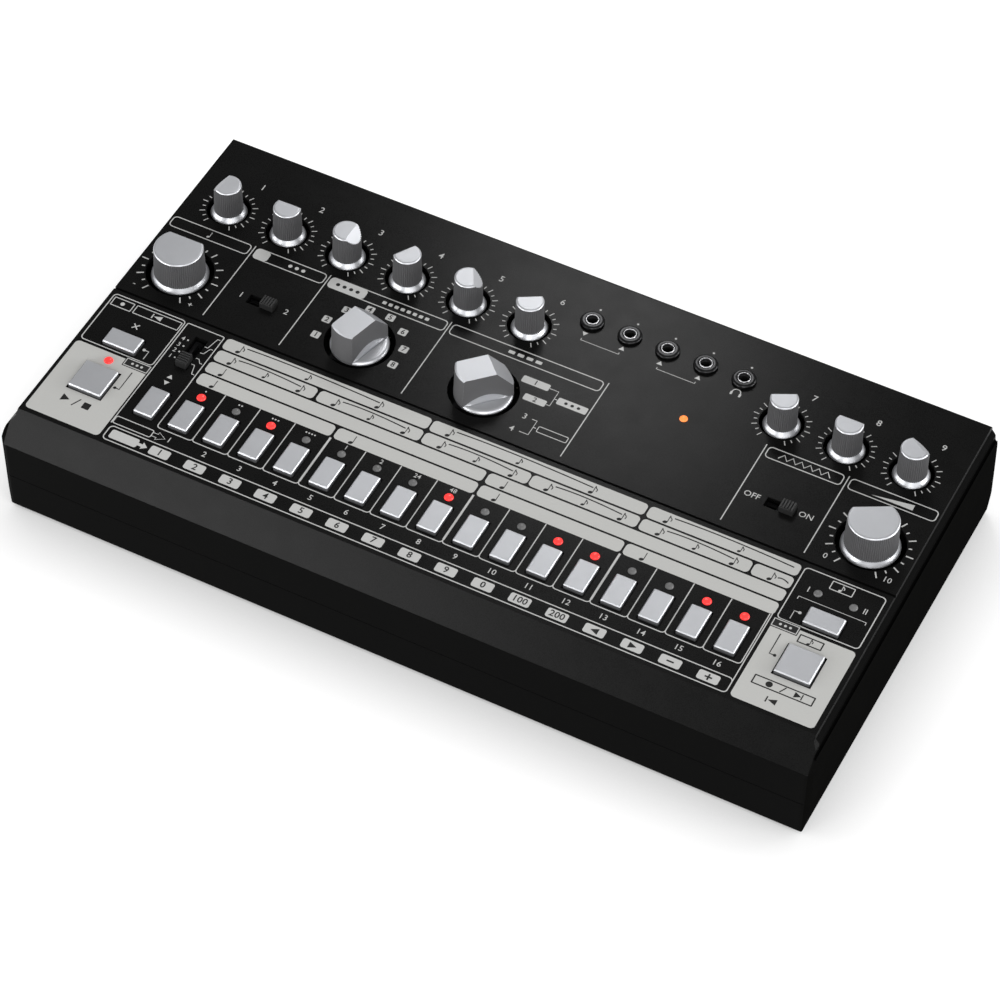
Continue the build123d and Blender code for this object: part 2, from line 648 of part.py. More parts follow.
for number, (level_x, angle) in enumerate(zip(LEVEL_XS, LEVEL_ANGLES), start=1):
    turning_knob(f"level_knob_{number}", (level_x, LEVEL_Y), SMALL, angle)
turning_knob("tempo_knob", TEMPO_AT, LARGE, 0.0)
turning_knob("volume_knob", VOLUME_AT, LARGE, -29.2)

SELECTOR_R = 10.45
SELECTOR_TOP = 12.3
SELECTOR_BOTTOM = -1.2
SELECTOR_LEDGE = 0.5
SELECTOR_BAR = 10.0
SELECTOR_CHORD = 3.0
SELECTOR_SLOPE = 50.0
SELECTOR_RIBS = 32
SELECTOR_TAPER = 20


def selector_knob(name, at, angle):
    """Pointer bar with flat sides on a round ledge, and a shaft."""
    with BuildPart() as selector:
        with BuildSketch(level(SELECTOR_BOTTOM)):
            with Locations(Location(at, -angle)):
                Circle(SELECTOR_R)
                Rectangle(SELECTOR_BAR, 3 * SELECTOR_R, mode=Mode.INTERSECT)
        extrude(amount=SELECTOR_TOP - SELECTOR_BOTTOM)
        facet = pointer_cut(at, angle, SELECTOR_TOP, SELECTOR_CHORD, SELECTOR_SLOPE)
        split(bisect_by=facet, keep=Keep.BOTTOM)
        with BuildSketch(level(SELECTOR_BOTTOM)):
            with Locations(at):
                RegularPolygon(SELECTOR_R, SELECTOR_RIBS)
        extrude(amount=SELECTOR_LEDGE - SELECTOR_BOTTOM, taper=SELECTOR_TAPER)
        shaft(at, SELECTOR_BOTTOM)
    save(selector, name)


selector_knob("instrument_selector", INSTRUMENT_AT, 15.0)
selector_knob("mode_selector", MODE_AT, 45.0)

# ---- panel jacks and their nuts ----
JACK_BODY = (9.0, 8.6)
with BuildPart() as panel_jacks:
    with BuildSketch(level(BOARD_TOP)):
        with Locations(*[(x, JACK_Y) for x in JACK_XS]):
            Rectangle(*JACK_BODY)
    extrude(amount=-PANEL_T - BOARD_TOP)
    with BuildSketch(level(-PANEL_T)):
        with Locations(*[(x, JACK_Y) for x in JACK_XS]):
            RegularPolygon(JACK_THREAD_R, NUT_SIDES)
    extrude(amount=PANEL_T + JACK_TOP)
    with BuildSketch(level(JACK_TOP)):
        with Locations(*[(x, JACK_Y) for x in JACK_XS]):
            Circle(JACK_BORE_R)
    extrude(amount=-JACK_DEPTH, mode=Mode.SUBTRACT)
save(panel_jacks, "panel_jacks")

with BuildPart() as jack_nuts:
    with BuildSketch(level(0)):
        with Locations(*[(x, JACK_Y) for x in JACK_XS]):
            RegularPolygon(NUT_R, NUT_SIDES)
            RegularPolygon(
                JACK_THREAD_R + RUN_FIT, NUT_SIDES, major_radius=False, mode=Mode.SUBTRACT
            )
    extrude(amount=NUT_T)
    with BuildSketch(REAR_FACE):
        with Locations(on_rear(OUTPUT_X, OUTPUT_Z)):
            RegularPolygon(OUTPUT_NUT_R, 6)
            Circle(OUTPUT_THREAD_R + RUN_FIT, mode=Mode.SUBTRACT)
    extrude(amount=OUTPUT_NUT_T)
save(jack_nuts, "jack_nuts")


def lamps(name, places):
    """Round lamp caps seated on the panel."""
    with BuildPart() as group:
        with BuildSketch(level(0)):
            with Locations(*places):
                RegularPolygon(LED_R, LED_SIDES)
        extrude(amount=LED_TOP)
    save(group, name)


lamps("lit_leds", LIT_LEDS)
lamps("unlit_leds", UNLIT_LEDS)
lamps("amber_led", [AMBER_LED_AT])


def board_block(x, width, height, depth, back_y=SOCKET_WALL):
    """Socket body that stands on the main board, inside the current part."""
    with BuildSketch(Plane.XY.offset(MAIN_BOARD_TOP)) as foot:
        with Locations((x, back_y - depth / 2)):
            Rectangle(width, depth)
    extrude(foot.sketch, amount=height)


# ---- rear sockets ----
with BuildPart() as rear_jacks:
    for jack_x in REAR_JACK_X:
        board_block(jack_x, REAR_JACK_W, REAR_JACK_H, REAR_JACK_BODY)
    with BuildSketch(REAR_FACE):
        with Locations(*[on_rear(x, REAR_JACK_Z) for x in REAR_JACK_X]):
            Circle(JACK_BORE_R)
    extrude(amount=-REAR_JACK_DEPTH, mode=Mode.SUBTRACT)
save(rear_jacks, "rear_jacks")

with BuildPart() as midi_sockets:
    for midi_x in MIDI_X:
        board_block(midi_x, MIDI_W, MIDI_W, MIDI_BODY)
    with BuildSketch(REAR_FACE):
        with Locations(*[on_rear(x, MIDI_Z) for x in MIDI_X]):
            RegularPolygon(MIDI_MOUTH_R, MIDI_SIDES, major_radius=False)
    extrude(amount=-SOCKET_DEPTH, mode=Mode.SUBTRACT)
save(midi_sockets, "midi_sockets")

with BuildPart() as usb_socket:
    board_block(USB_X, USB_W, SMALL_SOCKET_H, USB_BODY)
    with BuildSketch(REAR_FACE):
        with Locations(on_rear(USB_X, USB_Z)):
            Rectangle(*USB_MOUTH)
    extrude(amount=-SOCKET_DEPTH, mode=Mode.SUBTRACT)
save(usb_socket, "usb_socket")

with BuildPart() as dc_socket:
    board_block(DC_X, DC_W, SMALL_SOCKET_H, DC_BODY)
    with BuildSketch(REAR_FACE):
        with Locations(on_rear(DC_X, DC_Z)):
            Circle(DC_BORE_R)
    extrude(amount=-DC_DEPTH, mode=Mode.SUBTRACT)
save(dc_socket, "dc_socket")

with BuildPart() as output_socket:
    board_block(OUTPUT_X, OUTPUT_W, 2 * (OUTPUT_Z - MAIN_BOARD_TOP), OUTPUT_BODY - WALL, REAR_WALL_IN)
    with BuildSketch(rear(OUTPUT_THREAD_TOP)):
        with Locations(on_rear(OUTPUT_X, OUTPUT_Z)):
            Circle(OUTPUT_THREAD_R)
    extrude(amount=-WALL - OUTPUT_THREAD_TOP)
    with BuildSketch(rear(OUTPUT_THREAD_TOP)):
        with Locations(on_rear(OUTPUT_X, OUTPUT_Z)):
            Circle(OUTPUT_BORE_R)
    extrude(amount=-OUTPUT_DEPTH, mode=Mode.SUBTRACT)
save(output_socket, "output_socket")

# ---- power switch: framed housing and rocker ----
with BuildPart() as power_switch_body:
    with BuildSketch(REAR_FACE):
        with Locations(on_rear(POWER_X, POWER_Z)):
            Rectangle(POWER_BODY[0] + 2 * POWER_FLANGE, POWER_BODY[1] + 2 * POWER_FLANGE)
    extrude(amount=POWER_FLANGE_T)
    with BuildSketch(REAR_FACE):
        with Locations(on_rear(POWER_X, POWER_Z)):
            Rectangle(*POWER_BODY)
    extrude(amount=-POWER_BODY_DEPTH)
    with BuildSketch(rear(POWER_FLANGE_T)):
        with Locations(on_rear(POWER_X, POWER_Z)):
            Rectangle(*ROCKER_MOUTH)
    extrude(amount=-ROCKER_DEPTH, mode=Mode.SUBTRACT)
save(power_switch_body, "power_switch_body")

ROCKER_H = ROCKER_MOUTH[1] - 0.2
ROCKER_HALF = 7.2
ROCKER_EDGE = 3.4                # how far the ends of the rocker stand out from its pivot
ROCKER_DIP = 2.4
ROCKER_BACK = -2.4
ROCKER_BACK_HALF = 5.6
rocker_plane = Plane(origin=(POWER_X, ROCKER_PIVOT_Y, POWER_Z), x_dir=(1, 0, 0), z_dir=(0, 0, 1))
with BuildPart() as power_switch:
    with BuildSketch(rocker_plane.rotated((0, 0, POWER_REST))):
        with BuildLine():
            Polyline(
                (-ROCKER_HALF, ROCKER_EDGE),
                (0, ROCKER_DIP),
                (ROCKER_HALF, ROCKER_EDGE),
                (ROCKER_BACK_HALF, ROCKER_BACK),
                (-ROCKER_BACK_HALF, ROCKER_BACK),
                close=True,
            )
        make_face()
    extrude(amount=ROCKER_H / 2, both=True)
save(power_switch, "power_switch")

# ---- screws ----
with BuildPart() as screws:
    with BuildSketch(Plane.XY.offset(CASE_SCREW_HEAD_Z)):
        with Locations(*CASE_SCREWS):
            RegularPolygon(SCREW_HEAD_R, HEAD_SIDES)
    extrude(amount=-SCREW_HEAD_T)
    with BuildSketch(Plane.XY.offset(CASE_SCREW_HEAD_Z)):
        with Locations(*CASE_SCREWS):
            RegularPolygon(SCREW_R, SHANK_SIDES)
    extrude(amount=SCREW_L)
    with BuildSketch(level(BOARD_TOP - BOARD_T)):
        with Locations(*BOARD_SCREWS):
            RegularPolygon(SCREW_HEAD_R, HEAD_SIDES)
    extrude(amount=-SCREW_HEAD_T)
    with BuildSketch(level(BOARD_TOP - BOARD_T)):
        with Locations(*BOARD_SCREWS):
            RegularPolygon(SCREW_R, SHANK_SIDES)
    extrude(amount=SCREW_L)
save(screws, "screws")

# ---- feet ----
with BuildPart() as rubber_feet:
    with BuildSketch(Plane.XY):
        with Locations(*FEET):
            RegularPolygon(FOOT_R, FOOT_SIDES)
    extrude(amount=FOOT_H)
save(rubber_feet, "rubber_feet")
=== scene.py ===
"""Finishes, printing and small detail for a desktop drum machine.

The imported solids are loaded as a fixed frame. Every piece made here rides on one of their bodies.
"""

from math import cos, pi, radians, sin

import bmesh
import bpy
from mathutils import Matrix, Vector


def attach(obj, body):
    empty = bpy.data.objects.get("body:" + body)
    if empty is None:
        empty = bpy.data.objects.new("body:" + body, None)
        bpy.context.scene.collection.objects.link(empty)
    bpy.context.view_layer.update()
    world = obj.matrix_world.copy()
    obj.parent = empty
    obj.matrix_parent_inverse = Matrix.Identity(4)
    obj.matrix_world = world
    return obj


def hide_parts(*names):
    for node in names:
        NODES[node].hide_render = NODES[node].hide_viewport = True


bl_info = {
    "name": "Drum machine dressing",
    "version": (1, 0, 0),
    "blender": (4, 5, 0),
    "location": "View3D > Sidebar > Drum machine",
    "description": "Finishes, panel printing and detailed controls of a desktop drum machine",
    "category": "Object",
}

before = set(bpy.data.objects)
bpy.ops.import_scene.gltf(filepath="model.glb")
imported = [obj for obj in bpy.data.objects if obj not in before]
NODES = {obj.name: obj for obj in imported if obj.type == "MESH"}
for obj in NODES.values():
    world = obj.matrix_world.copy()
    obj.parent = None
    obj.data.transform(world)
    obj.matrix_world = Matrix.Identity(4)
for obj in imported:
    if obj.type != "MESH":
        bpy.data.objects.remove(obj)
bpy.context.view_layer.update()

# ---- places on the panel, in millimetres: x from the centre, y from the front edge ----
TILT = radians(1.9)
PANEL_FRONT = Vector((0.0, -73.92, 44.67))
MILLIMETRE = Matrix.Scale(0.001, 4)
PANEL = MILLIMETRE @ Matrix.Translation(PANEL_FRONT) @ Matrix.Rotation(TILT, 4, "X")
PANEL_LEFT = -149.0
KNOB_PITCH = 24.1
KNOB_EDGE_X = 132.7
LEVEL_Y = 116.6
DIAL_Y = 81.8
LEVEL_XS = [-KNOB_EDGE_X + KNOB_PITCH * index for index in range(6)]
LEVEL_XS += [KNOB_EDGE_X - KNOB_PITCH * index for index in (2, 1, 0)]
LEVEL_ANGLES = [-88.0, 0.0, 90.0, -58.7, 62.4, -30.5, -27.6, 0.0, 33.7]
DIALS = (("tempo_knob", -KNOB_EDGE_X, 0.0), ("volume_knob", KNOB_EDGE_X, -29.2))
INSTRUMENT_X = -60.7
MODE_X = -12.3
SELECTORS = (("instrument_selector", INSTRUMENT_X, 15.0), ("mode_selector", MODE_X, 45.0))
STEP_PITCH = 13.656
STEP_FIRST_X = -96.16
STEP_XS = [STEP_FIRST_X + STEP_PITCH * index for index in range(16)]
BUTTON_Y = 23.0
UPPER_BUTTON_Y = 43.05
END_BUTTON_X = 132.8
FUNCTION_X = -109.65
LED_ROW_Y = 33.4
LIT_STEPS = (1, 3, 8, 11, 12, 15, 16)
START_LED_X = -133.0
GROUP_LEDS = [(126.0, 53.45), (138.8, 53.45)]
AMBER_LED = (54.1, 102.3)
SIDE_SLOT_X = 99.6
SCALE_SLOT = (-109.6, 49.7)
JACK_XS = [6.67 + 14.58 * index for index in range(5)]
JACK_Y = 128.1

# ---- places on the rear wall, in millimetres: x to the right seen from behind, y up ----
REAR_TURN = Matrix(((-1, 0, 0, 0), (0, 0, 1, 0), (0, 1, 0, 0), (0, 0, 0, 1)))
REAR = MILLIMETRE @ Matrix.Translation((0, 75.0, 0)) @ REAR_TURN
REAR_JACK_XS = [-12.0 + 14.0 * index for index in range(8)]
REAR_JACK_Y = 24.8
ROUND_XS = (-66.0, -40.0)
ROUND_Y = 30.2
DATA_AT = (-92.0, 25.5)
SUPPLY_AT = (-131.0, 25.5)
OUTPUT_AT = (112.0, 28.0)
ROCKER_PIVOT = Vector((111.0, 73.0, 30.0))
ROCKER_LEAN = 8.0
ROCKER_SLOPE = 7.9


# ---- settings ----
def length(label, text, value):
    """A size in millimetres that the user can change."""
    return bpy.props.FloatProperty(name=label, description=text, default=value, min=0.0)


def colour(label, text, value):
    """A colour that the user can change."""
    return bpy.props.FloatVectorProperty(
        name=label,
        description=text,
        default=value,
        subtype="COLOR",
        size=3,
        min=0.0,
        max=1.0,
    )


class DrumFinishSettings(bpy.types.PropertyGroup):
    """Colours of the finishes."""

    # the case is darker than the panel partly as painted shade on its front walls, and its sides
    # are painted paler as painted light
    case: colour("Case", "Textured plastic of the two shells", (0.0024, 0.0024, 0.0023))
    panel: colour("Panel", "Black paint of the control panel", (0.0056, 0.0056, 0.0055))
    white_ink: colour("White ink", "Lines and numbers on the panel", (0.63, 0.63, 0.62))
    plate_ink: colour("Plate ink", "Light plates and bars on the panel", (0.61, 0.61, 0.59))
    black_ink: colour("Black ink", "Marks on the light plates", (0.012, 0.012, 0.012))
    knob: colour("Knob tops", "Satin silver paint of the knobs", (0.59, 0.60, 0.625))
    # a dark copy of the knob paint: painted shade on the knobs' upright ribbed sides
    knob_side: colour("Knob sides", "Ribbed sides of the knobs", (0.16, 0.16, 0.165))
    button: colour("Buttons", "Satin grey button caps", (0.59, 0.60, 0.625))
    red_lamp: colour("Red lamp", "Glow of the lit lamps", (1.0, 0.045, 0.04))
    amber_lamp: colour("Amber lamp", "Glow of the amber lamp", (1.0, 0.27, 0.06))


class DrumControlSettings(bpy.types.PropertyGroup):
    """Sizes of the detailed controls."""

    ink: length("Ink", "Thickness of a layer of printing, in mm", 0.03)
    rib_depth: length("Rib depth", "Depth of the grooves round a knob, in mm", 0.26)
    button_edge: length("Button edge", "Rounding of a button's edges, in mm", 0.35)
    lamp_radius: length("Lamp radius", "Radius of an indicator lamp, in mm", 1.5)
    small_ribs: bpy.props.IntProperty(
        name="Small knob ribs", description="Ribs round a level knob", default=44, min=12
    )
    large_ribs: bpy.props.IntProperty(
        name="Large knob ribs", description="Ribs round a large knob", default=76, min=12
    )


class DrumStageSettings(bpy.types.PropertyGroup):
    """Camera, floor and light."""

    lens: bpy.props.FloatProperty(
        name="Lens", description="Focal length", default=136.2, unit="CAMERA"
    )
    floor: colour("Floor", "Pale floor", (0.5, 0.5, 0.5))
    sky: bpy.props.FloatProperty(
        name="Sky", description="Strength of the even light", default=0.4, min=0.0
    )
    lamps: bpy.props.FloatProperty(
        name="Lamps", description="Share of the lamps' full power", default=1.0, min=0.0
    )


def finish_settings():
    """The colours in use."""
    return bpy.context.scene.drum_finish


def control_settings():
    """The sizes in use."""
    return bpy.context.scene.drum_controls


# ---- materials ----
class Wire:
    """A shader value that takes part in a Python expression."""

    def __init__(self, finish, socket):
        self.finish = finish
        self.socket = socket

    def __add__(self, other):
        return self.finish.maths("ADD", self, other)

    __radd__ = __add__

    def __sub__(self, other):
        return self.finish.maths("SUBTRACT", self, other)

    def __rsub__(self, other):
        return self.finish.maths("SUBTRACT", other, self)

    def __mul__(self, other):
        return self.finish.maths("MULTIPLY", self, other)

    __rmul__ = __mul__

    def __gt__(self, other):
        return self.finish.maths("GREATER_THAN", self, other)

    def __lt__(self, other):
        return self.finish.maths("LESS_THAN", self, other)


class Finish:
    """A material or a world, and the nodes that are added to it."""

    def __init__(self, name, kind="materials"):
        self.holder = getattr(bpy.data, kind).new(name)
        self.holder.use_nodes = True
        self.tree = self.holder.node_tree
        self.tree.nodes.clear()

    def feed(self, socket, value):
        """Link a wire to a socket, or set a plain value on it."""
        if isinstance(value, Wire):
            self.tree.links.new(value.socket, socket)
        elif hasattr(socket.default_value, "__len__") and len(socket.default_value) == 4:
            socket.default_value = (*value[:3], 1.0)
        else:
            socket.default_value = value

    def node(self, kind, settings=None, sockets=None, out=0):
        """Add a node with its settings and its sockets, and return one output as a wire."""
        made = self.tree.nodes.new("ShaderNode" + kind)
        for key, value in (settings or {}).items():
            setattr(made, key, value)
        for key, value in (sockets or {}).items():
            self.feed(made.inputs[key], value)
        return Wire(self, made.outputs[out]) if len(made.outputs) else made

    def maths(self, operation, first, second):
        """Math node on two values or wires."""
        return self.node("Math", {"operation": operation}, {0: first, 1: second})

    def mix(self, factor, first, second):
        """Blend two colours."""
        return self.node("Mix", {"data_type": "RGBA"}, {0: factor, 6: first, 7: second}, out=2)

    def place(self):
        """Object coordinates, in metres."""
        return self.node("TexCoord", out="Object")

    def noise(self, size, detail=2.0, roughness=0.5):
        """Noise whose grains have about this size in millimetres."""
        sockets = {"Scale": 1000.0 / size, "Detail": detail, "Roughness": roughness}
        return self.node("TexNoise", None, {"Vector": self.place(), **sockets})

    def bump(self, height, depth):
        """Surface relief of a depth in millimetres."""
        sockets = {"Strength": 1.0, "Distance": depth * 0.001, "Height": height}
        return self.node("Bump", None, sockets)

    def shader(self, **sockets):
        """Principled shader; underscores in the names stand for spaces."""
        named = {key.replace("_", " "): value for key, value in sockets.items()}
        return self.node("BsdfPrincipled", None, named)

    def output(self, shader, kind="OutputMaterial"):
        """Link the shader to the output, and return the material or world."""
        self.node(kind, None, {"Surface": shader})
        return self.holder

    def surface(self, **sockets):
        """Principled shader straight to the output."""
        return self.output(self.shader(**sockets))


def shade(tone, factor):
    """A colour made darker or lighter by a factor."""
    return tuple(min(1.0, part * factor) for part in tone)


# grain of moulded plastic: the detail and roughness of its noise, the size of the
# uneven patches in millimetres, and how far grain and patches change the gloss
GRAIN = (3.0, 0.6)
PATCH = 9.0
GRAIN_GLOSS = 0.18
PATCH_GLOSS = 0.08


def plastic(name, tone, gloss, grain, depth):
    """Moulded plastic: fine grain, slightly uneven colour and sheen."""
    finish = Finish(name)
    fine = finish.noise(grain, *GRAIN)
    broad = finish.noise(PATCH)
    return finish.surface(
        Base_Color=finish.mix(broad, shade(tone, 0.8), shade(tone, 1.2)),
        Roughness=gloss + (fine - 0.5) * GRAIN_GLOSS + (broad - 0.5) * PATCH_GLOSS,
        Specular_IOR_Level=0.5,
        Normal=finish.bump(fine, depth),
    )


# where the case changes its finish, in metres, and how much paler its sides are painted: painted
# light on the matte sides
SIDE_X = 0.1507
PANEL_RISE = 0.0455
BEVEL_Y = -0.0738
BEVEL_Z = 0.03325
SIDE_PAINTED_LIGHT = 2.0


def case_plastic(name, tone, panel_tone):
    """Grained plastic, with a smoother painted control panel and front chamfer on top, and duller
    sides. The shell is darker than the panel partly as painted shade on its front walls, and the
    sides are paler as painted light.
    """
    finish = Finish(name)
    grain = finish.noise(0.35, *GRAIN)
    broad = finish.noise(PATCH)
    relief = finish.bump(grain, 0.012)
    shell, panel, sides = (
        finish.shader(
            Base_Color=finish.mix(broad, shade(base, 0.88), shade(base, 1.12)),
            Roughness=gloss + (grain - 0.5) * GRAIN_GLOSS + (broad - 0.5) * PATCH_GLOSS,
            Specular_IOR_Level=specular,
            Normal=relief,
        )
        # the shell's darker tone is partly painted shade on its front walls, and the sides' paler
        # tone is painted light
        for base, gloss, specular in (
            (tone, 0.34, 0.014),
            (panel_tone, 0.28, 0.09),
            (shade(tone, SIDE_PAINTED_LIGHT), 0.6, 0.0),
        )
    )
    spot = finish.place()
    across, along, up = (finish.node("SeparateXYZ", None, {0: spot}, out) for out in range(3))
    outside = finish.maths("MAXIMUM", across, across * -1.0) > SIDE_X
    on_panel = (up * cos(TILT) - along * sin(TILT)) > PANEL_RISE
    on_bevel = (along < BEVEL_Y) * (up > BEVEL_Z)
    upper = finish.maths("MAXIMUM", on_panel, on_bevel)
    top = finish.node("MixShader", None, {0: upper, 1: shell, 2: panel})
    return finish.output(finish.node("MixShader", None, {0: outside, 1: top, 2: sides}))


def metal(name, tone, gloss):
    """Plated metal."""
    finish = Finish(name)
    fine = finish.noise(0.5, *GRAIN)
    broad = finish.noise(6.0)
    return finish.surface(
        Base_Color=finish.mix(broad, shade(tone, 0.88), shade(tone, 1.06)),
        Metallic=1.0,
        Roughness=gloss + (fine - 0.5) * 0.12 + (broad - 0.5) * PATCH_GLOSS,
        Normal=finish.bump(fine, 0.004),
    )


def satin_paint(name, tone, gloss, sheen, factor=1.0):
    """Satin paint with a part-metallic flake, darker or lighter than a colour by a factor; the
    factor paints shade or highlight onto darker and lighter copies of one paint.
    """
    finish = Finish(name)
    tone = shade(tone, factor)
    flake = finish.noise(0.12, roughness=0.6)
    broad = finish.noise(7.0)
    return finish.surface(
        Base_Color=finish.mix(broad, shade(tone, 0.95), shade(tone, 1.05)),
        Metallic=sheen + (flake - 0.5) * 0.2,
        Roughness=gloss + (flake - 0.5) * 0.12,
        Specular_IOR_Level=0.5,
        Normal=finish.bump(flake, 0.01),
    )


def printed(name, tone):
    """Screen-printed ink with a fine uneven cover."""
    finish = Finish(name)
    fine = finish.noise(0.3, roughness=0.6)
    broad = finish.noise(14.0)
    cover = finish.mix(fine, shade(tone, 0.93), shade(tone, 1.05))
    return finish.surface(
        Base_Color=finish.mix(broad * 0.5, cover, shade(tone, 0.96)),
        Roughness=0.55 + (fine - 0.5) * 0.15,
        Specular_IOR_Level=0.3,
        Normal=finish.bump(fine, 0.01),
    )


def lamp_glow(name, tone, body):
    """Diffusing lamp cap that glows from inside."""
    finish = Finish(name)
    broad = finish.noise(1.2)
    return finish.surface(
        Base_Color=finish.mix(broad, shade(body, 0.85), shade(body, 1.1)),
        Roughness=0.25 + broad * 0.1,
        Emission_Color=finish.mix(broad, shade(tone, 0.97), tone),
        Emission_Strength=1.0,
    )


# pattern of a circuit board: repeats per metre, and the size of a pad in its cell
TRACK_SCALE = 140.0
PAD_SCALE = 320.0
PAD_SIZE = 0.16
SOLDER = (0.5, 0.48, 0.42)


def circuit(name, mask, track):
    """Solder mask with copper tracks under it and solder pads."""
    finish = Finish(name)
    tracks = finish.node(
        "TexBrick",
        {"offset": 0.37},
        {
            "Vector": finish.place(),
            "Scale": TRACK_SCALE,
            "Color1": mask,
            "Color2": shade(mask, 1.25),
            "Mortar": track,
            "Mortar Size": 0.03,
        },
    )
    cells = finish.node(
        "TexVoronoi", None, {"Vector": finish.place(), "Scale": PAD_SCALE}, "Distance"
    )
    pads = cells < PAD_SIZE
    fine = finish.noise(0.6)
    return finish.surface(
        Base_Color=finish.mix(pads, tracks, SOLDER),
        Metallic=pads * 0.8,
        Roughness=0.32 + fine * 0.15,
        Normal=finish.bump(cells, 0.03),
    )


# how each finish is made; a word stands for the colour setting of that name
FINISHES = {
    "case_black": (case_plastic, "case", "panel"),
    "white_ink": (printed, "white_ink"),
    "plate_ink": (printed, "plate_ink"),
    "black_ink": (printed, "black_ink"),
    "knob_silver": (satin_paint, "knob", 0.48, 0.8),
    # dark copy of the knob paint: painted shade on upright walls
    "knob_ribbed": (satin_paint, "knob_side", 0.55, 0.4),
    # lighter, glossier copy of the knob paint: the gloss is real, the lighter tone a painted
    # highlight on rims, skirts and bevels
    "knob_rim": (satin_paint, "knob", 0.4, 0.85, 1.15),
    "button_grey": (satin_paint, "button", 0.48, 0.8),
    # dark copy of the button paint: painted shade on the buttons' walls and flanges
    "button_side": (satin_paint, "button", 0.46, 0.6, 0.35),
    "lever_black": (plastic, (0.018, 0.018, 0.018), 0.45, 0.3, 0.02),
    "switch_black": (plastic, (0.022, 0.022, 0.023), 0.5, 0.5, 0.02),
    "socket_black": (plastic, (0.014, 0.014, 0.014), 0.4, 0.4, 0.015),
    # near-black: painted shade standing in for socket holes
    "hole_black": (plastic, (0.003, 0.003, 0.003), 0.7, 0.8, 0.01),
    "foot_rubber": (plastic, (0.02, 0.02, 0.02), 0.75, 0.5, 0.05),
    "grey_lamp": (plastic, (0.17, 0.17, 0.17), 0.35, 0.6, 0.01),
    "nut_black": (metal, (0.035, 0.035, 0.036), 0.3),
    "dull_metal": (metal, (0.36, 0.36, 0.37), 0.34),
    "bright_metal": (metal, (0.82, 0.82, 0.83), 0.18),
    "contact_gold": (metal, (0.75, 0.58, 0.25), 0.25),
    "screw_steel": (metal, (0.3, 0.3, 0.31), 0.34),
    "red_lamp": (lamp_glow, "red_lamp", (0.5, 0.02, 0.02)),
    "amber_lamp": (lamp_glow, "amber_lamp", (0.5, 0.14, 0.03)),
    "board_mask": (circuit, (0.004, 0.0045, 0.004), (0.012, 0.014, 0.012)),
}
MADE = {}


def material(name):
    """The finish of that name, made when it is first asked for."""
    if name not in MADE:
        make, *values = FINISHES[name]
        tones = finish_settings()
        values = [getattr(tones, each) if isinstance(each, str) else each for each in values]
        MADE[name] = make(name, *values)
    return MADE[name]


# ---- shapes ----
SHARP = 32.0


def new_object(name, data):
    """Object that holds the data, linked to the scene."""
    thing = bpy.data.objects.new(name, data)
    bpy.context.scene.collection.objects.link(thing)
    return thing


def new_mesh(name, shape):
    """Mesh made from a bmesh, which is freed."""
    mesh = bpy.data.meshes.new(name)
    shape.to_mesh(mesh)
    shape.free()
    return mesh


def final_mesh(thing):
    """Mesh of an object with its modifiers applied, or of a curve or text."""
    bpy.context.view_layer.update()
    return bpy.data.meshes.new_from_object(
        thing.evaluated_get(bpy.context.evaluated_depsgraph_get())
    )


def build_piece(shape, name, body, finishes, nodes=(), place=PANEL, sharp=SHARP):
    """Turn a finished bmesh into a piece that rides on a body."""
    return place_mesh(new_mesh(name, shape), name, body, finishes, nodes, place, sharp)


def place_mesh(mesh, name, body, finishes, nodes=(), place=PANEL, sharp=SHARP):
    """Put a mesh where it belongs and hand it to its body."""
    mesh.transform(place)
    mesh.shade_smooth()
    mesh.set_sharp_from_angle(angle=radians(sharp))
    for each in finishes:
        mesh.materials.append(material(each))
    thing = new_object(name, mesh)
    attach(thing, body)
    if nodes:
        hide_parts(*nodes)
    return thing


def flat_faces(thing):
    """Keep large faces flat beside narrow rounded edges."""
    modifier = thing.modifiers.new("flat faces", "WEIGHTED_NORMAL")
    modifier.keep_sharp = True
    modifier.weight = 80


def join(target, shape):
    """Add one bmesh to another and free it."""
    carrier = new_mesh("carrier", shape)
    target.from_mesh(carrier)
    bpy.data.meshes.remove(carrier)


def paint(shape, finish):
    """Give every face of a shape one finish."""
    for face in shape.faces:
        face.material_index = finish
    return shape


def turned(profile, steps=48, finish=0):
    """Solid of revolution from (radius, height) points that start and end on the axis."""
    shape = bmesh.new()
    points = [shape.verts.new((radius, 0.0, height)) for radius, height in profile]
    edges = [shape.edges.new(pair) for pair in zip(points, points[1:])]
    bmesh.ops.spin(
        shape,
        geom=points + edges,
        cent=(0, 0, 0),
        axis=(0, 0, 1),
        angle=2 * pi,
        steps=steps,
        use_merge=True,
    )
    bmesh.ops.remove_doubles(shape, verts=shape.verts, dist=0.001)
    bmesh.ops.recalc_face_normals(shape, faces=shape.faces)
    return paint(shape, finish)


def ring(profile, x, y, steps=40, finish=0):
    """Ring turned from a closed profile that keeps clear of the axis."""
    return moved(turned([*profile, profile[0]], steps, finish), x, y)


def block(width, depth, low, high, finish=0):
    """Upright block about the axis."""
    shape = bmesh.new()
    bmesh.ops.create_cube(shape, size=1.0)
    bmesh.ops.scale(shape, vec=(width, depth, high - low), verts=shape.verts)
    bmesh.ops.translate(shape, vec=(0, 0, (high + low) / 2), verts=shape.verts)
    return paint(shape, finish)


def moved(shape, x, y, angle=0.0, height=0.0):
    """Turn a shape clockwise seen from outside, and move it."""
    turn = Matrix.Translation((x, y, height)) @ Matrix.Rotation(-radians(angle), 4, "Z")
    bmesh.ops.transform(shape, matrix=turn, verts=shape.verts)
    return shape


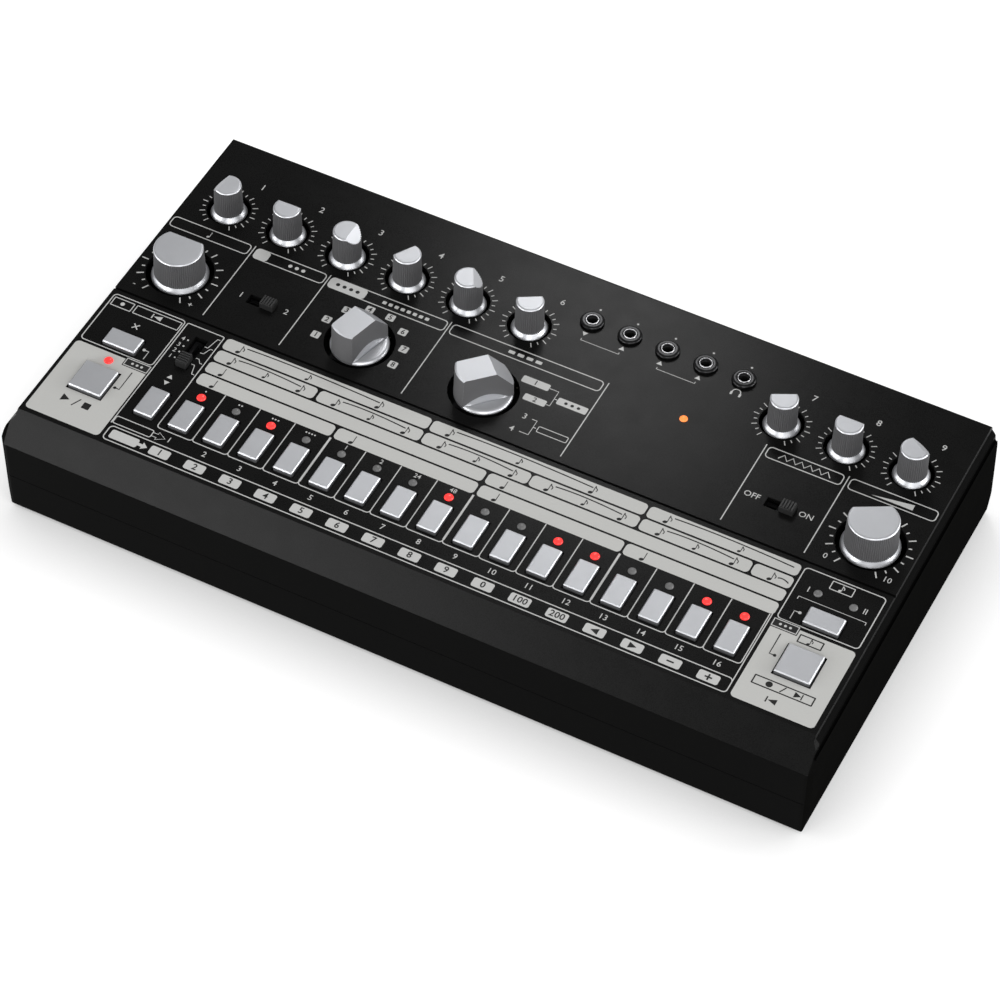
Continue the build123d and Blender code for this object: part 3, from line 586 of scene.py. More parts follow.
def rounded_face(width, depth, radius, height=0.0, segments=4):
    """Flat rectangle at a height, facing out, its corners rounded if there is a radius."""
    shape = bmesh.new()
    x, y = width / 2, depth / 2
    corners = ((-x, -y), (x, -y), (x, y), (-x, y))
    shape.faces.new([shape.verts.new((a, b, height)) for a, b in corners])
    if radius:
        bmesh.ops.bevel(
            shape,
            geom=shape.verts[:],
            offset=radius,
            offset_type="OFFSET",
            segments=segments,
            profile=0.5,
            affect="VERTICES",
            material=-1,
        )
    return shape


def raise_cap(shape, cap, height, spread, finish=0):
    """Carry the cap face up to a height, spread in x and y, and paint the new wall."""
    made = bmesh.ops.extrude_discrete_faces(shape, faces=[cap])["faces"][0]
    lift = height - made.verts[0].co.z
    bmesh.ops.translate(shape, vec=(0, 0, lift), verts=made.verts[:])
    bmesh.ops.scale(shape, vec=(*spread, 1.0), verts=made.verts[:])
    for edge in made.edges:
        for face in edge.link_faces:
            if face is not made:
                face.material_index = finish
    return made


def cut_off(shape, point, normal):
    """Cut away what lies beyond a plane, and close the cut."""
    parts = shape.verts[:] + shape.edges[:] + shape.faces[:]
    cut = bmesh.ops.bisect_plane(
        shape, geom=parts, plane_co=point, plane_no=normal, clear_outer=True
    )
    rim = [part for part in cut["geom_cut"] if isinstance(part, bmesh.types.BMEdge)]
    made = bmesh.ops.edgeloop_fill(shape, edges=rim)
    for face in made["faces"]:
        face.material_index = 0


# ---- printing, in millimetres: x from the panel's left edge, y from its front edge ----
PRINT_BASE = -0.01
LAYER_STEP = 0.0008
LAYER_STEPS = 7
PRINT_ROUNDING = 5
SCALE_TURN = 150.0
# widths of lines
FINE = 0.3
FRAME = 0.35
LINE = 0.39
# a figure's height as a share of its font size, and how much its strokes are thickened
FIGURE_SHARE = 0.73
THIN = 0.003
BOLD = 0.02
# heights of figures
SMALL_FIGURE = 1.9
FIGURE = 2.4
SLOT_FIGURE = 2.5
LEVEL_FIGURE = 2.8


class Ink:
    """One layer of printing on the panel, as thin closed shapes.

    Their thickness steps up by a hair from shape to shape, so that those that cross share no face.
    """

    def __init__(self, base, thickness):
        self.layer = bmesh.new()
        self.base = base
        self.thickness = thickness
        self.count = 0

    def lay(self, shape, x=0.0, y=0.0, angle=0.0):
        """Give flat faces their thickness and add them to the layer."""
        self.count += 1
        rise = self.thickness + LAYER_STEP * (self.count % LAYER_STEPS)
        faces = shape.faces[:]
        up = bmesh.ops.extrude_face_region(shape, geom=faces, use_keep_orig=True)
        lifted = [part for part in up["geom"] if isinstance(part, bmesh.types.BMVert)]
        bmesh.ops.translate(shape, vec=(0, 0, rise), verts=lifted)
        bmesh.ops.recalc_face_normals(shape, faces=shape.faces)
        join(self.layer, moved(shape, x, y, angle, self.base))

    def box(self, left, front, right, back, radius=0.0, line=0.0):
        """Filled box, or an outline when a line width is given."""
        shape = rounded_face(right - left, back - front, radius, segments=PRINT_ROUNDING)
        if line:
            face = shape.faces[:][0]
            bmesh.ops.inset_region(
                shape, faces=[face], thickness=line, use_even_offset=True, use_boundary=True
            )
            bmesh.ops.delete(shape, geom=[face], context="FACES_ONLY")
        self.lay(shape, (left + right) / 2 + PANEL_LEFT, (front + back) / 2)

    def plate(self, left, front, right, back, radius, x, y, hole):
        """Filled box with a square hole round a point, which is given from the centre."""
        shape = rounded_face(right - left, back - front, radius, segments=PRINT_ROUNDING)
        shift = Vector(((left + right) / 2 + PANEL_LEFT, (front + back) / 2, 0.0))
        bmesh.ops.translate(shape, vec=shift, verts=shape.verts)
        bmesh.ops.delete(shape, geom=shape.faces[:], context="FACES_ONLY")
        half = hole / 2
        corners = [(-half, -half), (half, -half), (half, half), (-half, half)]
        inner = [shape.verts.new((x + a, y + b, 0.0)) for a, b in corners]
        for first, second in zip(inner, inner[1:] + inner[:1]):
            shape.edges.new((first, second))
        bmesh.ops.triangle_fill(shape, use_beauty=True, edges=shape.edges[:])
        self.lay(shape)

    def dot(self, x, y, radius, squash=1.0, angle=0.0):
        """Filled disc, or an oval when it is squashed."""
        shape = bmesh.new()
        bmesh.ops.create_circle(shape, cap_ends=True, radius=radius, segments=20)
        bmesh.ops.scale(shape, vec=(1.0, squash, 1.0), verts=shape.verts)
        self.lay(shape, x + PANEL_LEFT, y, angle)

    def outline(self, points):
        """Filled flat shape with these corners."""
        shape = bmesh.new()
        shape.faces.new([shape.verts.new((x + PANEL_LEFT, y, 0.0)) for x, y in points])
        self.lay(shape)

    def path(self, points, width, smooth=False):
        """Line of one width along the points."""
        curve = bpy.data.curves.new("path", "CURVE")
        curve.dimensions = "3D"
        curve.twist_mode = "Z_UP"
        curve.extrude = width / 2
        spline = curve.splines.new("NURBS" if smooth else "POLY")
        spline.points.add(len(points) - 1)
        for target, (x, y) in zip(spline.points, points):
            target.co = (x + PANEL_LEFT, y, 0.0, 1.0)
            target.tilt = pi / 2
        if smooth:
            spline.order_u = 3
            spline.use_endpoint_u = True
            spline.resolution_u = 6
        self.lay(curve_shape(curve))

    def text(self, words, x, y, height, weight=THIN):
        """Figures centred on a point, with this height."""
        curve = bpy.data.curves.new("figures", "FONT")
        curve.body = words
        curve.size = height / FIGURE_SHARE
        curve.align_x = "CENTER"
        curve.align_y = "CENTER"
        curve.resolution_u = 2
        curve.offset = weight * height
        self.lay(curve_shape(curve), x + PANEL_LEFT, y)

    def ticks(self, x, y, inner, outer, short, steps, width):
        """Scale of long and short marks round a point, which is given from the centre."""
        half = width / 2
        for step in range(steps):
            angle = radians(-SCALE_TURN + 2 * SCALE_TURN * step / (steps - 1))
            end = outer if step % 2 == 0 else short
            shape = bmesh.new()
            corners = [(-half, inner), (half, inner), (half, end), (-half, end)]
            shape.faces.new([shape.verts.new((a, b, 0.0)) for a, b in corners])
            spin = Matrix.Rotation(-angle, 3, "Z")
            bmesh.ops.rotate(shape, cent=(0, 0, 0), matrix=spin, verts=shape.verts)
            self.lay(shape, x, y)

    def note(self, x, y, flag=False, scale=1.0):
        """Musical note with its head at the point."""
        self.dot(x, y, 0.85 * scale, 0.72, -24)
        stem = x + 0.68 * scale
        top = y + 3.4 * scale
        self.box(stem - 0.13, y + 0.2, stem + 0.13, top)
        if flag:
            self.path(
                [
                    (stem, top - 0.1),
                    (stem + 0.35 * scale, top - 0.9 * scale),
                    (stem + 1.25 * scale, top - 1.3 * scale),
                    (stem + 0.95 * scale, top - 2.4 * scale),
                ],
                FINE,
                True,
            )

    def piece(self, name, finish):
        """Hand the layer to the fixed body."""
        return build_piece(self.layer, name, "base", [finish], sharp=20)


def curve_shape(curve):
    """A curve or text made into a bmesh."""
    holder = new_object("holder", curve)
    mesh = final_mesh(holder)
    shape = bmesh.new()
    shape.from_mesh(mesh)
    bmesh.ops.remove_doubles(shape, verts=shape.verts, dist=0.002)
    bpy.data.objects.remove(holder)
    bpy.data.meshes.remove(mesh)
    bpy.data.curves.remove(curve)
    return shape


# ---- operators ----
class DressOperator:
    """Shared parts of the operators."""

    bl_options = {"REGISTER", "UNDO"}


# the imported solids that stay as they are, by finish
CASE_NODES = {
    "case_black": ("top_case", "bottom_case"),
    "board_mask": ("control_board", "main_board"),
    "switch_black": (
        "small_pots",
        "large_pots",
        "rotary_switches",
        "slide_switches",
        "tact_switches",
        "power_switch_body",
        "power_switch",
    ),
    "socket_black": ("rear_jacks", "midi_sockets", "usb_socket", "dc_socket", "output_socket"),
}


class DRUM_OT_frame_finishes(DressOperator, bpy.types.Operator):
    """Give the case, boards, switches and sockets their finishes"""

    bl_idname = "drum.frame_finishes"
    bl_label = "Case and inner parts"

    def execute(self, context):
        for finish, names in CASE_NODES.items():
            for name in names:
                mesh = NODES[name].data
                mesh.materials.clear()
                mesh.materials.append(material(finish))
        return {"FINISHED"}


# light bars: front, back, and the left and right ends of each bar
ROW_BARS = (
    (56.71, 62.0, ((47.24, 127.57), (128.28, 209.42), (210.24, 265.72))),
    (
        50.6,
        55.89,
        (
            (47.24, 86.54),
            (87.56, 127.57),
            (128.28, 168.7),
            (169.21, 209.42),
            (210.24, 250.76),
            (251.47, 265.72),
        ),
    ),
    (44.59, 49.79, ((47.24, 154.75), (155.77, 265.72))),
    (38.48, 43.78, ((47.24, 100.08), (101.1, 154.75), (155.77, 209.42), (210.24, 265.72))),
)
# header boxes: left, right, and where the white part of the box ends, or 0
HEADERS = (
    (0.92, 32.88, 0.0),
    (34.92, 63.33, 40.72),
    (65.06, 111.48, 79.72),
    (113.31, 172.06, 0.0),
    (234.26, 262.57, 0.0),
    (264.81, 297.08, 0.0),
)
HEADER_Y = (99.67, 104.97)
HEADER_INSET = 0.3
DIVIDERS = (33.9, 64.24, 112.3, 173.38, 233.14, 263.79)
# light plates: box, corner radius and the middle of the button's well
END_PLATES = (
    (1.32, 1.83, 30.54, 36.86, 1.6, -END_BUTTON_X),
    (266.64, 1.63, 296.27, 36.65, 1.6, END_BUTTON_X),
)
WELL = 14.0


class DRUM_OT_light_plates(DressOperator, bpy.types.Operator):
    """Print the light plates round two buttons and the light bars"""

    bl_idname = "drum.light_plates"
    bl_label = "Light plates"

    def execute(self, context):
        ink = Ink(PRINT_BASE, control_settings().ink)
        for plate in END_PLATES:
            ink.plate(*plate, BUTTON_Y, WELL)
        for front, back, bars in ROW_BARS:
            for left, right in bars:
                ink.box(left, front, right, back, 1.5)
        ink.piece("light_plates", "plate_ink")
        return {"FINISHED"}


# boxes, lines and numbers at the mode selector
MODE_BOXES = ((145.9, 91.75, 156.3, 94.85), (150.0, 84.65, 158.4, 87.6), (161.2, 88.0, 172.5, 91.2))
MODE_LINES = (
    ((156.5, 93.3), (159.9, 93.3), (159.9, 86.1), (158.6, 86.1)),
    ((160.0, 89.7), (161.1, 89.7)),
    ((157.4, 77.85), (159.3, 77.85), (159.3, 70.9), (155.9, 70.9)),
    ((159.4, 74.7), (160.4, 74.7)),
)
MODE_NUMBERS = (("3", 154.6, 77.85), ("4", 153.0, 70.9))
# numbers round the instrument selector: radius, first angle and the turn between two
MARK_RADIUS = 15.7
MARK_FIRST = -105.0
MARK_TURN = 30.0

# scales: inner, outer and short radius, marks and their width; then the signs by them
LEVEL_SCALE = (8.5, 10.5, 9.7, 21, 0.34)
DIAL_SCALE = (12.7, 15.3, 13.9, 21, 0.5)
DIAL_SIGN_X = 11.2
DIAL_SIGN_Y = 69.4
LEVEL_NUMBER_X = 5.6
LEVEL_NUMBER_Y = 131.8
JACK_DOT_Y = 134.8
JACK_ARROW_Y = 121.9
SLOT_WORDS = (("OFF", 238.0), ("ON", 257.9), ("1", 40.9), ("2", 58.9))
SLOT_WORD_Y = 82.1
ARROW_SIDE = 1.1
ARROW_RISE = 0.9

# cells round the step buttons, with a bold line before each of the beats
BEATS = (4, 8, 12)
STEP_LEFT = 46.02
CELL_FRONT = 14.75
CELL_SIDE_FRONT = 16.2
CELL_BACK = 38.3
CELL_CORNER = 1.5
NUMBER_BOX = (3.15, 7.05)
NUMBER_BOX_HALF = 3.8
DOT_PITCH = 1.1
FILLED_ARROW = (
    (44.1, 4.5),
    (45.9, 4.5),
    (45.9, 3.5),
    (48.0, 5.1),
    (45.9, 6.7),
    (45.9, 5.7),
    (44.1, 5.7),
)
OPEN_ARROW = (
    (46.2, 12.1),
    (48.3, 12.1),
    (48.3, 13.1),
    (51.3, 11.3),
    (48.3, 9.5),
    (48.3, 10.5),
    (46.2, 10.5),
)

# frame at the scale slot, and the number, height and far height of each lead line
SCALE_FRAME = (
    (31.3, 9.3),
    (31.3, 60.2),
    (31.3, 61.6),
    (32.7, 61.6),
    (44.5, 61.6),
    (45.95, 61.6),
    (45.95, 60.2),
    (45.95, 38.2),
)
SCALE_LEADS = (("4", 54.5, 59.6), ("3", 51.4, 54.4), ("2", 48.5, 47.0), ("1", 45.4, 41.4))


class DRUM_OT_white_print(DressOperator, bpy.types.Operator):
    """Print the white lines, scales, boxes and numbers"""

    bl_idname = "drum.white_print"
    bl_label = "White printing"

    def execute(self, context):
        ink = Ink(PRINT_BASE, control_settings().ink)
        self.sections(ink)
        self.scales(ink)
        self.steps(ink)
        self.left_end(ink)
        self.right_end(ink)
        ink.piece("white_print", "white_ink")
        return {"FINISHED"}

    def sections(self, ink):
        """Header boxes, the lines between them and the selector marks."""
        for left, right, white_end in HEADERS:
            ink.box(left, HEADER_Y[0], right, HEADER_Y[1], 1.6, LINE)
            if white_end:
                front, back = HEADER_Y[0] + HEADER_INSET, HEADER_Y[1] - HEADER_INSET
                ink.box(left + HEADER_INSET, front, white_end, back, 1.3)
        for x in DIVIDERS:
            ink.box(x - LINE / 2, 67.3, x + LINE / 2, 105.17)
        for x, y in selector_marks():
            ink.box(x - 1.6, y - 1.55, x + 1.6, y + 1.55, 0.5)
        for box in MODE_BOXES:
            ink.box(*box, 0.6)
        for line in MODE_LINES:
            ink.path(line, FINE)
        ink.box(160.9, 73.3, 172.4, 76.2, 0.6, FINE)
        for number, x, y in MODE_NUMBERS:
            ink.text(number, x, y, SLOT_FIGURE)
        self.header_signs(ink)

    def header_signs(self, ink):
        """Plain signs in the middle of the header boxes."""
        middle = (HEADER_Y[0] + HEADER_Y[1]) / 2
        ink.note(16.5, middle - 1.1, False, 0.72)
        for x in (49.4, 52.0, 54.6):
            ink.dot(x, middle, 0.75)
        for left, right, pitch, count in ((86.4, 87.9, 2.4, 8), (136.0, 138.4, 3.5, 4)):
            for index in range(count):
                shift = pitch * index
                ink.box(left + shift, middle - 0.7, right + shift, middle + 0.7, 0.3)
        wave = [(239.0 + 1.6 * index, middle + (-1.1, 1.1)[index % 2]) for index in range(13)]
        ink.path(wave, 0.4)
        ink.outline([(273.5, middle - 1.2), (288.5, middle - 1.2), (288.5, middle + 1.3)])

    def scales(self, ink):
        """Scales round the knobs and the signs by knobs, slots and jacks."""
        for number, x in enumerate(LEVEL_XS, start=1):
            ink.ticks(x, LEVEL_Y, *LEVEL_SCALE)
            middle = x - PANEL_LEFT
            ink.text(str(number), middle + LEVEL_NUMBER_X, LEVEL_NUMBER_Y, LEVEL_FIGURE)
        for (_, x, _), low, high in zip(DIALS, "-0", ("+", "10")):
            ink.ticks(x, DIAL_Y, *DIAL_SCALE)
            ink.text(low, x - PANEL_LEFT - DIAL_SIGN_X, DIAL_SIGN_Y, FIGURE)
            ink.text(high, x - PANEL_LEFT + DIAL_SIGN_X, DIAL_SIGN_Y, FIGURE)
        for index, x in enumerate(JACK_XS):
            middle = x - PANEL_LEFT
            ink.dot(middle, JACK_DOT_Y, 0.42)
            if index < 4:
                self.arrow(ink, middle, JACK_ARROW_Y, -1 if index == 0 else 1)
        for first in (0, 2):
            left, right = (JACK_XS[first + step] - PANEL_LEFT for step in (0, 1))
            ink.path([(left, 119.6), (left, 118.8), (right, 118.8), (right, 119.6)], FINE)
        self.earphones(ink, JACK_XS[4] - PANEL_LEFT, 121.2)
        for word, x in SLOT_WORDS:
            ink.text(word, x, SLOT_WORD_Y, SLOT_FIGURE)

    def arrow(self, ink, x, y, way):
        """Small triangle that points to the back or to the front."""
        base, tip = y - way * ARROW_RISE, y + way * ARROW_RISE
        ink.outline([(x - ARROW_SIDE, base), (x + ARROW_SIDE, base), (x, tip)])

    def earphones(self, ink, x, y):
        """Headband and two ear pads."""
        arc = [(x - 1.6, y), (x - 1.5, y + 1.5), (x, y + 2.3), (x + 1.5, y + 1.5), (x + 1.6, y)]
        ink.path(arc, FRAME, True)
        for pad in (x - 1.6, x + 1.6):
            ink.box(pad - 0.4, y - 1.0, pad + 0.4, y + 0.5, 0.2)

    def steps(self, ink):
        """Cells, numbers and number boxes along the step buttons."""
        for index, x in enumerate(STEP_XS):
            left = STEP_LEFT + STEP_PITCH * index
            right = left + STEP_PITCH
            half = LINE if index in BEATS else LINE / 2
            ink.box(left - half, CELL_SIDE_FRONT, left + half, CELL_BACK)
            for end, inward in ((left, CELL_CORNER), (right, -CELL_CORNER)):
                corner = [(end, CELL_SIDE_FRONT), (end, CELL_FRONT), (end + inward, CELL_FRONT)]
                ink.path(corner, LINE, True)
            ends = (left + CELL_CORNER, right - CELL_CORNER)
            ink.box(ends[0], CELL_FRONT - LINE / 2, ends[1], CELL_FRONT + LINE / 2)
            middle = x - PANEL_LEFT
            ends = (middle - NUMBER_BOX_HALF, middle + NUMBER_BOX_HALF)
            ink.box(ends[0], NUMBER_BOX[0], ends[1], NUMBER_BOX[1], 0.8)
            ink.text(str(index + 1), middle, 11.5, FIGURE)
        ink.box(right - LINE / 2, CELL_SIDE_FRONT, right + LINE / 2, CELL_BACK)
        for count, x in enumerate(STEP_XS[:4], start=1):
            for dot in range(count):
                ink.dot(x - PANEL_LEFT + DOT_PITCH * (dot - (count - 1) / 2), 36.6, 0.33)
        for label, x in zip("1 2 24 48".split(), STEP_XS[4:8]):
            ink.text(label, x - PANEL_LEFT, 36.7, SMALL_FIGURE)
        ink.box(31.87, 1.73, 265.42, 8.45, 1.6, LINE)
        ink.box(265.42 - LINE, 6.6, 265.42, 39.2)
        ink.box(33.6, NUMBER_BOX[0], 44.3, NUMBER_BOX[1], 0.8)
        ink.outline(FILLED_ARROW)
        ink.box(31.5, 9.4, 46.5, 13.05, 0.8, FRAME)
        ink.path(OPEN_ARROW, FINE)

    def left_end(self, ink):
        """Boxes and signs over the left buttons and beside the scale slot."""
        ink.box(1.53, 37.98, 30.54, 62.15, 1.6, LINE)
        ink.box(2.55, 56.6, 10.69, 60.75, 0.4, FRAME)
        ink.dot(6.6, 58.7, 0.8)
        ink.box(11.5, 56.6, 29.73, 60.75, 0.4, FRAME)
        ink.box(18.5, 57.6, 18.95, 59.8)
        ink.outline([(22.3, 57.6), (22.3, 59.8), (19.2, 58.7)])
        for slope in (-1, 1):
            ink.path([(15.0, 51.6 - slope * 1.1), (17.2, 51.6 + slope * 1.1)], 0.45)
        ink.path(SCALE_FRAME, LINE, True)
        ink.dot(24.3, 43.4, 0.6)
        ink.path([(24.8, 43.4), (26.15, 43.4), (26.15, 39.6)], FINE)
        for number, y, end in SCALE_LEADS:
            ink.text(number, 33.5, y, SMALL_FIGURE)
            ink.dot(35.35, y, 0.36)
            curve = [(42.0, y), (43.1, y), (43.3, y), (44.3, end), (44.5, end), (45.3, end)]
            ink.path(curve, FINE, True)
        self.arrow(ink, 38.6, 36.9, 1)
        self.arrow(ink, 38.6, 33.6, -1)

    def right_end(self, ink):
        """Boxes and signs round the right buttons."""
        ink.box(266.74, 37.98, 296.27, 62.15, 1.6, LINE)
        ink.box(277.2, 57.05, 285.5, 60.95, 0.4, FRAME)
        ink.note(280.9, 57.9, True, 0.7)
        ink.text("I", 271.5, 53.6, FIGURE)
        ink.text("II", 291.9, 53.6, FIGURE)
        ink.path([(269.8, 48.4), (269.8, 49.6), (294.0, 49.6), (294.0, 48.4)], FINE)
        ink.dot(273.0, 43.3, 0.6)
        ink.path([(272.4, 43.3), (271.05, 43.3), (271.05, 39.6)], FINE)


def selector_marks():
    """Places of the eight numbers round the instrument selector."""
    for number in range(8):
        angle = radians(MARK_FIRST + MARK_TURN * number)
        across, along = MARK_RADIUS * sin(angle), MARK_RADIUS * cos(angle)
        yield INSTRUMENT_X - PANEL_LEFT + across, DIAL_Y + along


# black tags over the plates' edges, and how far inside them their outlines lie
TAG_INSET = 0.35
TAGS = ((20.8, 33.8, 30.95, 38.0), (266.2, 33.85, 276.05, 38.05))


class DRUM_OT_tag_lines(DressOperator, bpy.types.Operator):
    """Print the white outlines of the two black tags"""

    bl_idname = "drum.tag_lines"
    bl_label = "Tag outlines"

    def execute(self, context):
        over = control_settings().ink
        ink = Ink(over * 2.2, over * 0.6)
        for left, front, right, back in TAGS:
            corner = (right - TAG_INSET, back - TAG_INSET)
            ink.box(left + TAG_INSET, front + TAG_INSET, *corner, 0.2, 0.33)
            middle, level = (left + right) / 2, (front + back) / 2
            for step in (-1, 0, 1):
                ink.dot(middle + 1.8 * step, level, 0.5)
        ink.piece("tag_lines", "white_ink")
        return {"FINISHED"}


# notes on the light bars: the heads' height, and the first, small and last note of each
# group, where the last group of the back row has no last note
NOTE_BACK = 57.7
NOTE_FRONT = 51.6
NOTE_ROWS = (
    (NOTE_BACK, ((53.25, 80.43, 107.92), (135.1, 161.88, 189.37), (217.16, 244.34, None))),
    (
        NOTE_FRONT,
        (
            (53.25, 66.89, 80.43),
            (94.17, 107.92, 121.15),
            (135.1, 148.64, 162.18),
            (175.62, 189.37, 203.11),
            (217.16, 230.6, 244.34),
        ),
    ),
)
NOTE_ROW_END = 263.5
PLAIN_NOTES = ((45.5, (53.25, 162.18)), (39.4, (53.25, 107.61, 162.18, 217.16)))
BLACK_LINE = 0.4
BLACK_FRAME = 0.46


class DRUM_OT_black_print(DressOperator, bpy.types.Operator):
    """Print the notes, numbers and marks on the light plates"""

    bl_idname = "drum.black_print"
    bl_label = "Black printing"

    def execute(self, context):
        over = control_settings().ink
        ink = Ink(over, over * 0.6)
        self.notes(ink)
        for number, (x, y) in enumerate(selector_marks(), start=1):
            ink.text(str(number), x, y, 2.2, BOLD)
        for label, x in zip("1 2 3 4 5 6 7 8 9 0 100 200".split(), STEP_XS):
            ink.text(label, x - PANEL_LEFT, 5.1, 2.7, BOLD)
        self.edit_signs(ink)
        ink.text("1", 151.1, 93.3, 2.1, BOLD)
        ink.text("2", 154.2, 86.1, 2.1, BOLD)
        for step in (-1, 0, 1):
            ink.dot(166.85 + 2.4 * step, 89.6, 0.6)
        for index in range(4):
            ink.dot(68.6 + 2.6 * index, 102.3, 0.75)
        for box in TAGS:
            ink.box(*box, 0.3)
        self.start_plate(ink)
        self.write_plate(ink)
        ink.piece("black_print", "black_ink")
        return {"FINISHED"}

    def edit_signs(self, ink):
        """Arrows, minus and plus in the last four number boxes."""
        places = [x - PANEL_LEFT for x in STEP_XS[12:]]
        for x, way in zip(places, (-1, 1)):
            ink.outline([(x - way * 1.3, 3.8), (x - way * 1.3, 6.4), (x + way * 1.5, 5.1)])
        for x in places[2:]:
            ink.box(x - 1.3, 4.8, x + 1.3, 5.4)
        ink.box(places[3] - 0.3, 3.8, places[3] + 0.3, 6.4)

    def start_plate(self, ink):
        """Line to the button and the sign for run and stop."""
        ink.path([(26.05, 32.3), (26.05, 23.5), (24.8, 23.5)], BLACK_LINE)
        ink.dot(24.35, 23.5, 0.6)
        ink.outline([(10.4, 10.0), (10.4, 13.2), (13.4, 11.6)])
        ink.path([(15.2, 9.7), (17.0, 13.5)], BLACK_LINE)
        ink.box(18.7, 10.2, 21.5, 13.0, 0.2)

    def write_plate(self, ink):
        """Line to the button and the signs for record and next."""
        ink.path([(271.05, 32.3), (271.05, 23.25), (272.4, 23.25)], BLACK_LINE)
        ink.dot(272.95, 23.25, 0.6)
        ink.box(276.8, 31.75, 285.55, 35.35, 0.3, BLACK_FRAME)
        ink.note(280.7, 32.5, True, 0.7)
        ink.box(270.55, 9.6, 292.1, 13.55, 0.3, BLACK_FRAME)
        ink.dot(276.3, 11.6, 1.2)
        ink.path([(280.5, 10.3), (281.9, 12.9)], BLACK_LINE)
        ink.outline([(285.2, 10.4), (285.2, 12.8), (287.6, 11.6)])
        ink.box(287.7, 10.4, 288.1, 12.8)
        ink.box(277.7, 4.6, 278.15, 7.0)
        ink.outline([(281.4, 4.6), (281.4, 7.0), (278.4, 5.8)])

    def notes(self, ink):
        """Groups of notes under their ties, and the single notes in front of them."""
        for head, groups in NOTE_ROWS:
            for first, small, last in groups:
                ink.note(first, head, True)
                ink.note(small, head, True, 0.75)
                if last:
                    ink.note(last, head, True)
                self.tie(ink, first + 2.4, last or NOTE_ROW_END, head + 3.3)
        ink.note(258.09, NOTE_FRONT, True)
        self.tie(ink, 260.5, 264.6, NOTE_FRONT + 2.2)
        for head, places in PLAIN_NOTES:
            for x in places:
                ink.note(x, head)

    def tie(self, ink, left, right, y):
        """Flat arc from one note to another."""
        peak = left + (right - left) * 0.4
        ink.path([(left, y - 0.5), (peak, y + 0.5), (right, y - 1.0)], BLACK_FRAME, True)


# ---- knobs and selectors ----
class KnobShape:
    """Sizes of a knob in millimetres, heights from the panel's surface."""

    def __init__(self, top, top_r, body_r, skirt_top, skirt_r, skirt_bottom, chord, slope):
        self.top = top
        self.top_r = top_r
        self.body_r = body_r
        self.skirt_top = skirt_top
        self.skirt_r = skirt_r
        self.skirt_bottom = skirt_bottom
        self.chord = chord
        self.slope = slope


SMALL = KnobShape(12.6, 4.95, 5.3, 0.75, 6.62, -1.5, 1.7, 48.0)
LARGE = KnobShape(12.1, 8.84, 9.25, 0.65, 10.35, -1.6, 5.4, 66.0)
# under a knob's top: where the ribs stop, where the rim starts, and the rim's rounding as
# depth, inset and finish; finish 2 is the lighter rim paint, a painted highlight
RIBS_STOP = 0.72
RIM_START = 0.6
RIM = ((0.34, 0.12, 2), (0.13, 0.36, 2), (0.0, 0.68, 0), (0.02, 0.8, 0))
SHAFT_END = -9.0
SHAFT_R = 3.0
ROUND_STEPS = 72
# the knob paint, a darker copy of it on upright walls as painted shade, and a lighter copy on rims,
# skirts and bevels as painted highlight
KNOB_FINISHES = ["knob_silver", "knob_ribbed", "knob_rim"]


def shaft(top):
    """Points of the shaft's profile, from under the knob to its chamfered end."""
    chamfer = 0.3
    return (
        (SHAFT_R, top),
        (SHAFT_R, SHAFT_END + chamfer),
        (SHAFT_R - chamfer, SHAFT_END),
        (0, SHAFT_END),
    )


def ribbed_knob(knob, ribs, depth):
    """Turning knob: ribbed wall, rounded rim, pointer facet, flared skirt and shaft."""
    shape = bmesh.new()
    bmesh.ops.create_circle(shape, cap_ends=True, radius=knob.body_r, segments=4 * ribs)
    groove = 1.0 - depth / knob.body_r
    wall = sorted(shape.verts, key=lambda v: Vector((0, 1)).angle_signed(v.co.xy))
    low = [vertex for index, vertex in enumerate(wall) if index % 4 in (0, 1)]
    bmesh.ops.scale(shape, vec=(groove, groove, 1.0), verts=low)
    bmesh.ops.translate(shape, vec=(0, 0, knob.skirt_top - 0.3), verts=shape.verts)
    shape.faces.ensure_lookup_table()
    cap = shape.faces[0]
    narrow = knob.top_r / knob.body_r
    # the ribbed wall takes the darker side paint, a painted shade
    cap = raise_cap(shape, cap, knob.top - RIBS_STOP, (narrow, narrow), 1)
    cap = raise_cap(shape, cap, knob.top - RIM_START, (1.0, 1.0))
    reach = max(vertex.co.xy.length for vertex in cap.verts)
    for vertex in cap.verts:
        if vertex.co.xy.length < reach - 0.01:
            bmesh.ops.scale(shape, vec=(1 / groove, 1 / groove, 1.0), verts=[vertex])
    rim = knob.top_r
    for drop, inset, finish in RIM:
        narrow = (knob.top_r - inset) / rim
        cap = raise_cap(shape, cap, knob.top - drop, (narrow, narrow), finish)
        rim = knob.top_r - inset
    bmesh.ops.holes_fill(shape, edges=shape.edges[:], sides=0)
    bmesh.ops.recalc_face_normals(shape, faces=shape.faces)
    tilt = radians(knob.slope)
    cut_off(shape, (0, knob.chord, knob.top), (0, sin(tilt), cos(tilt)))
    flare = knob.skirt_r - knob.body_r
    # the skirt, with the shaft under it, takes the lighter rim paint, a painted highlight
    skirt = turned(
        [
            (0, knob.skirt_top),
            (knob.body_r + 0.04, knob.skirt_top),
            (knob.body_r + flare * 0.45, knob.skirt_top - 0.8),
            (knob.skirt_r - 0.1, knob.skirt_top - 1.66),
            (knob.skirt_r, knob.skirt_top - 1.85),
            (knob.skirt_r - 0.03, knob.skirt_bottom + 0.2),
            (knob.skirt_r - 0.2, knob.skirt_bottom),
            *shaft(knob.skirt_bottom),
        ],
        ROUND_STEPS,
        2,
    )
    join(shape, skirt)
    return shape


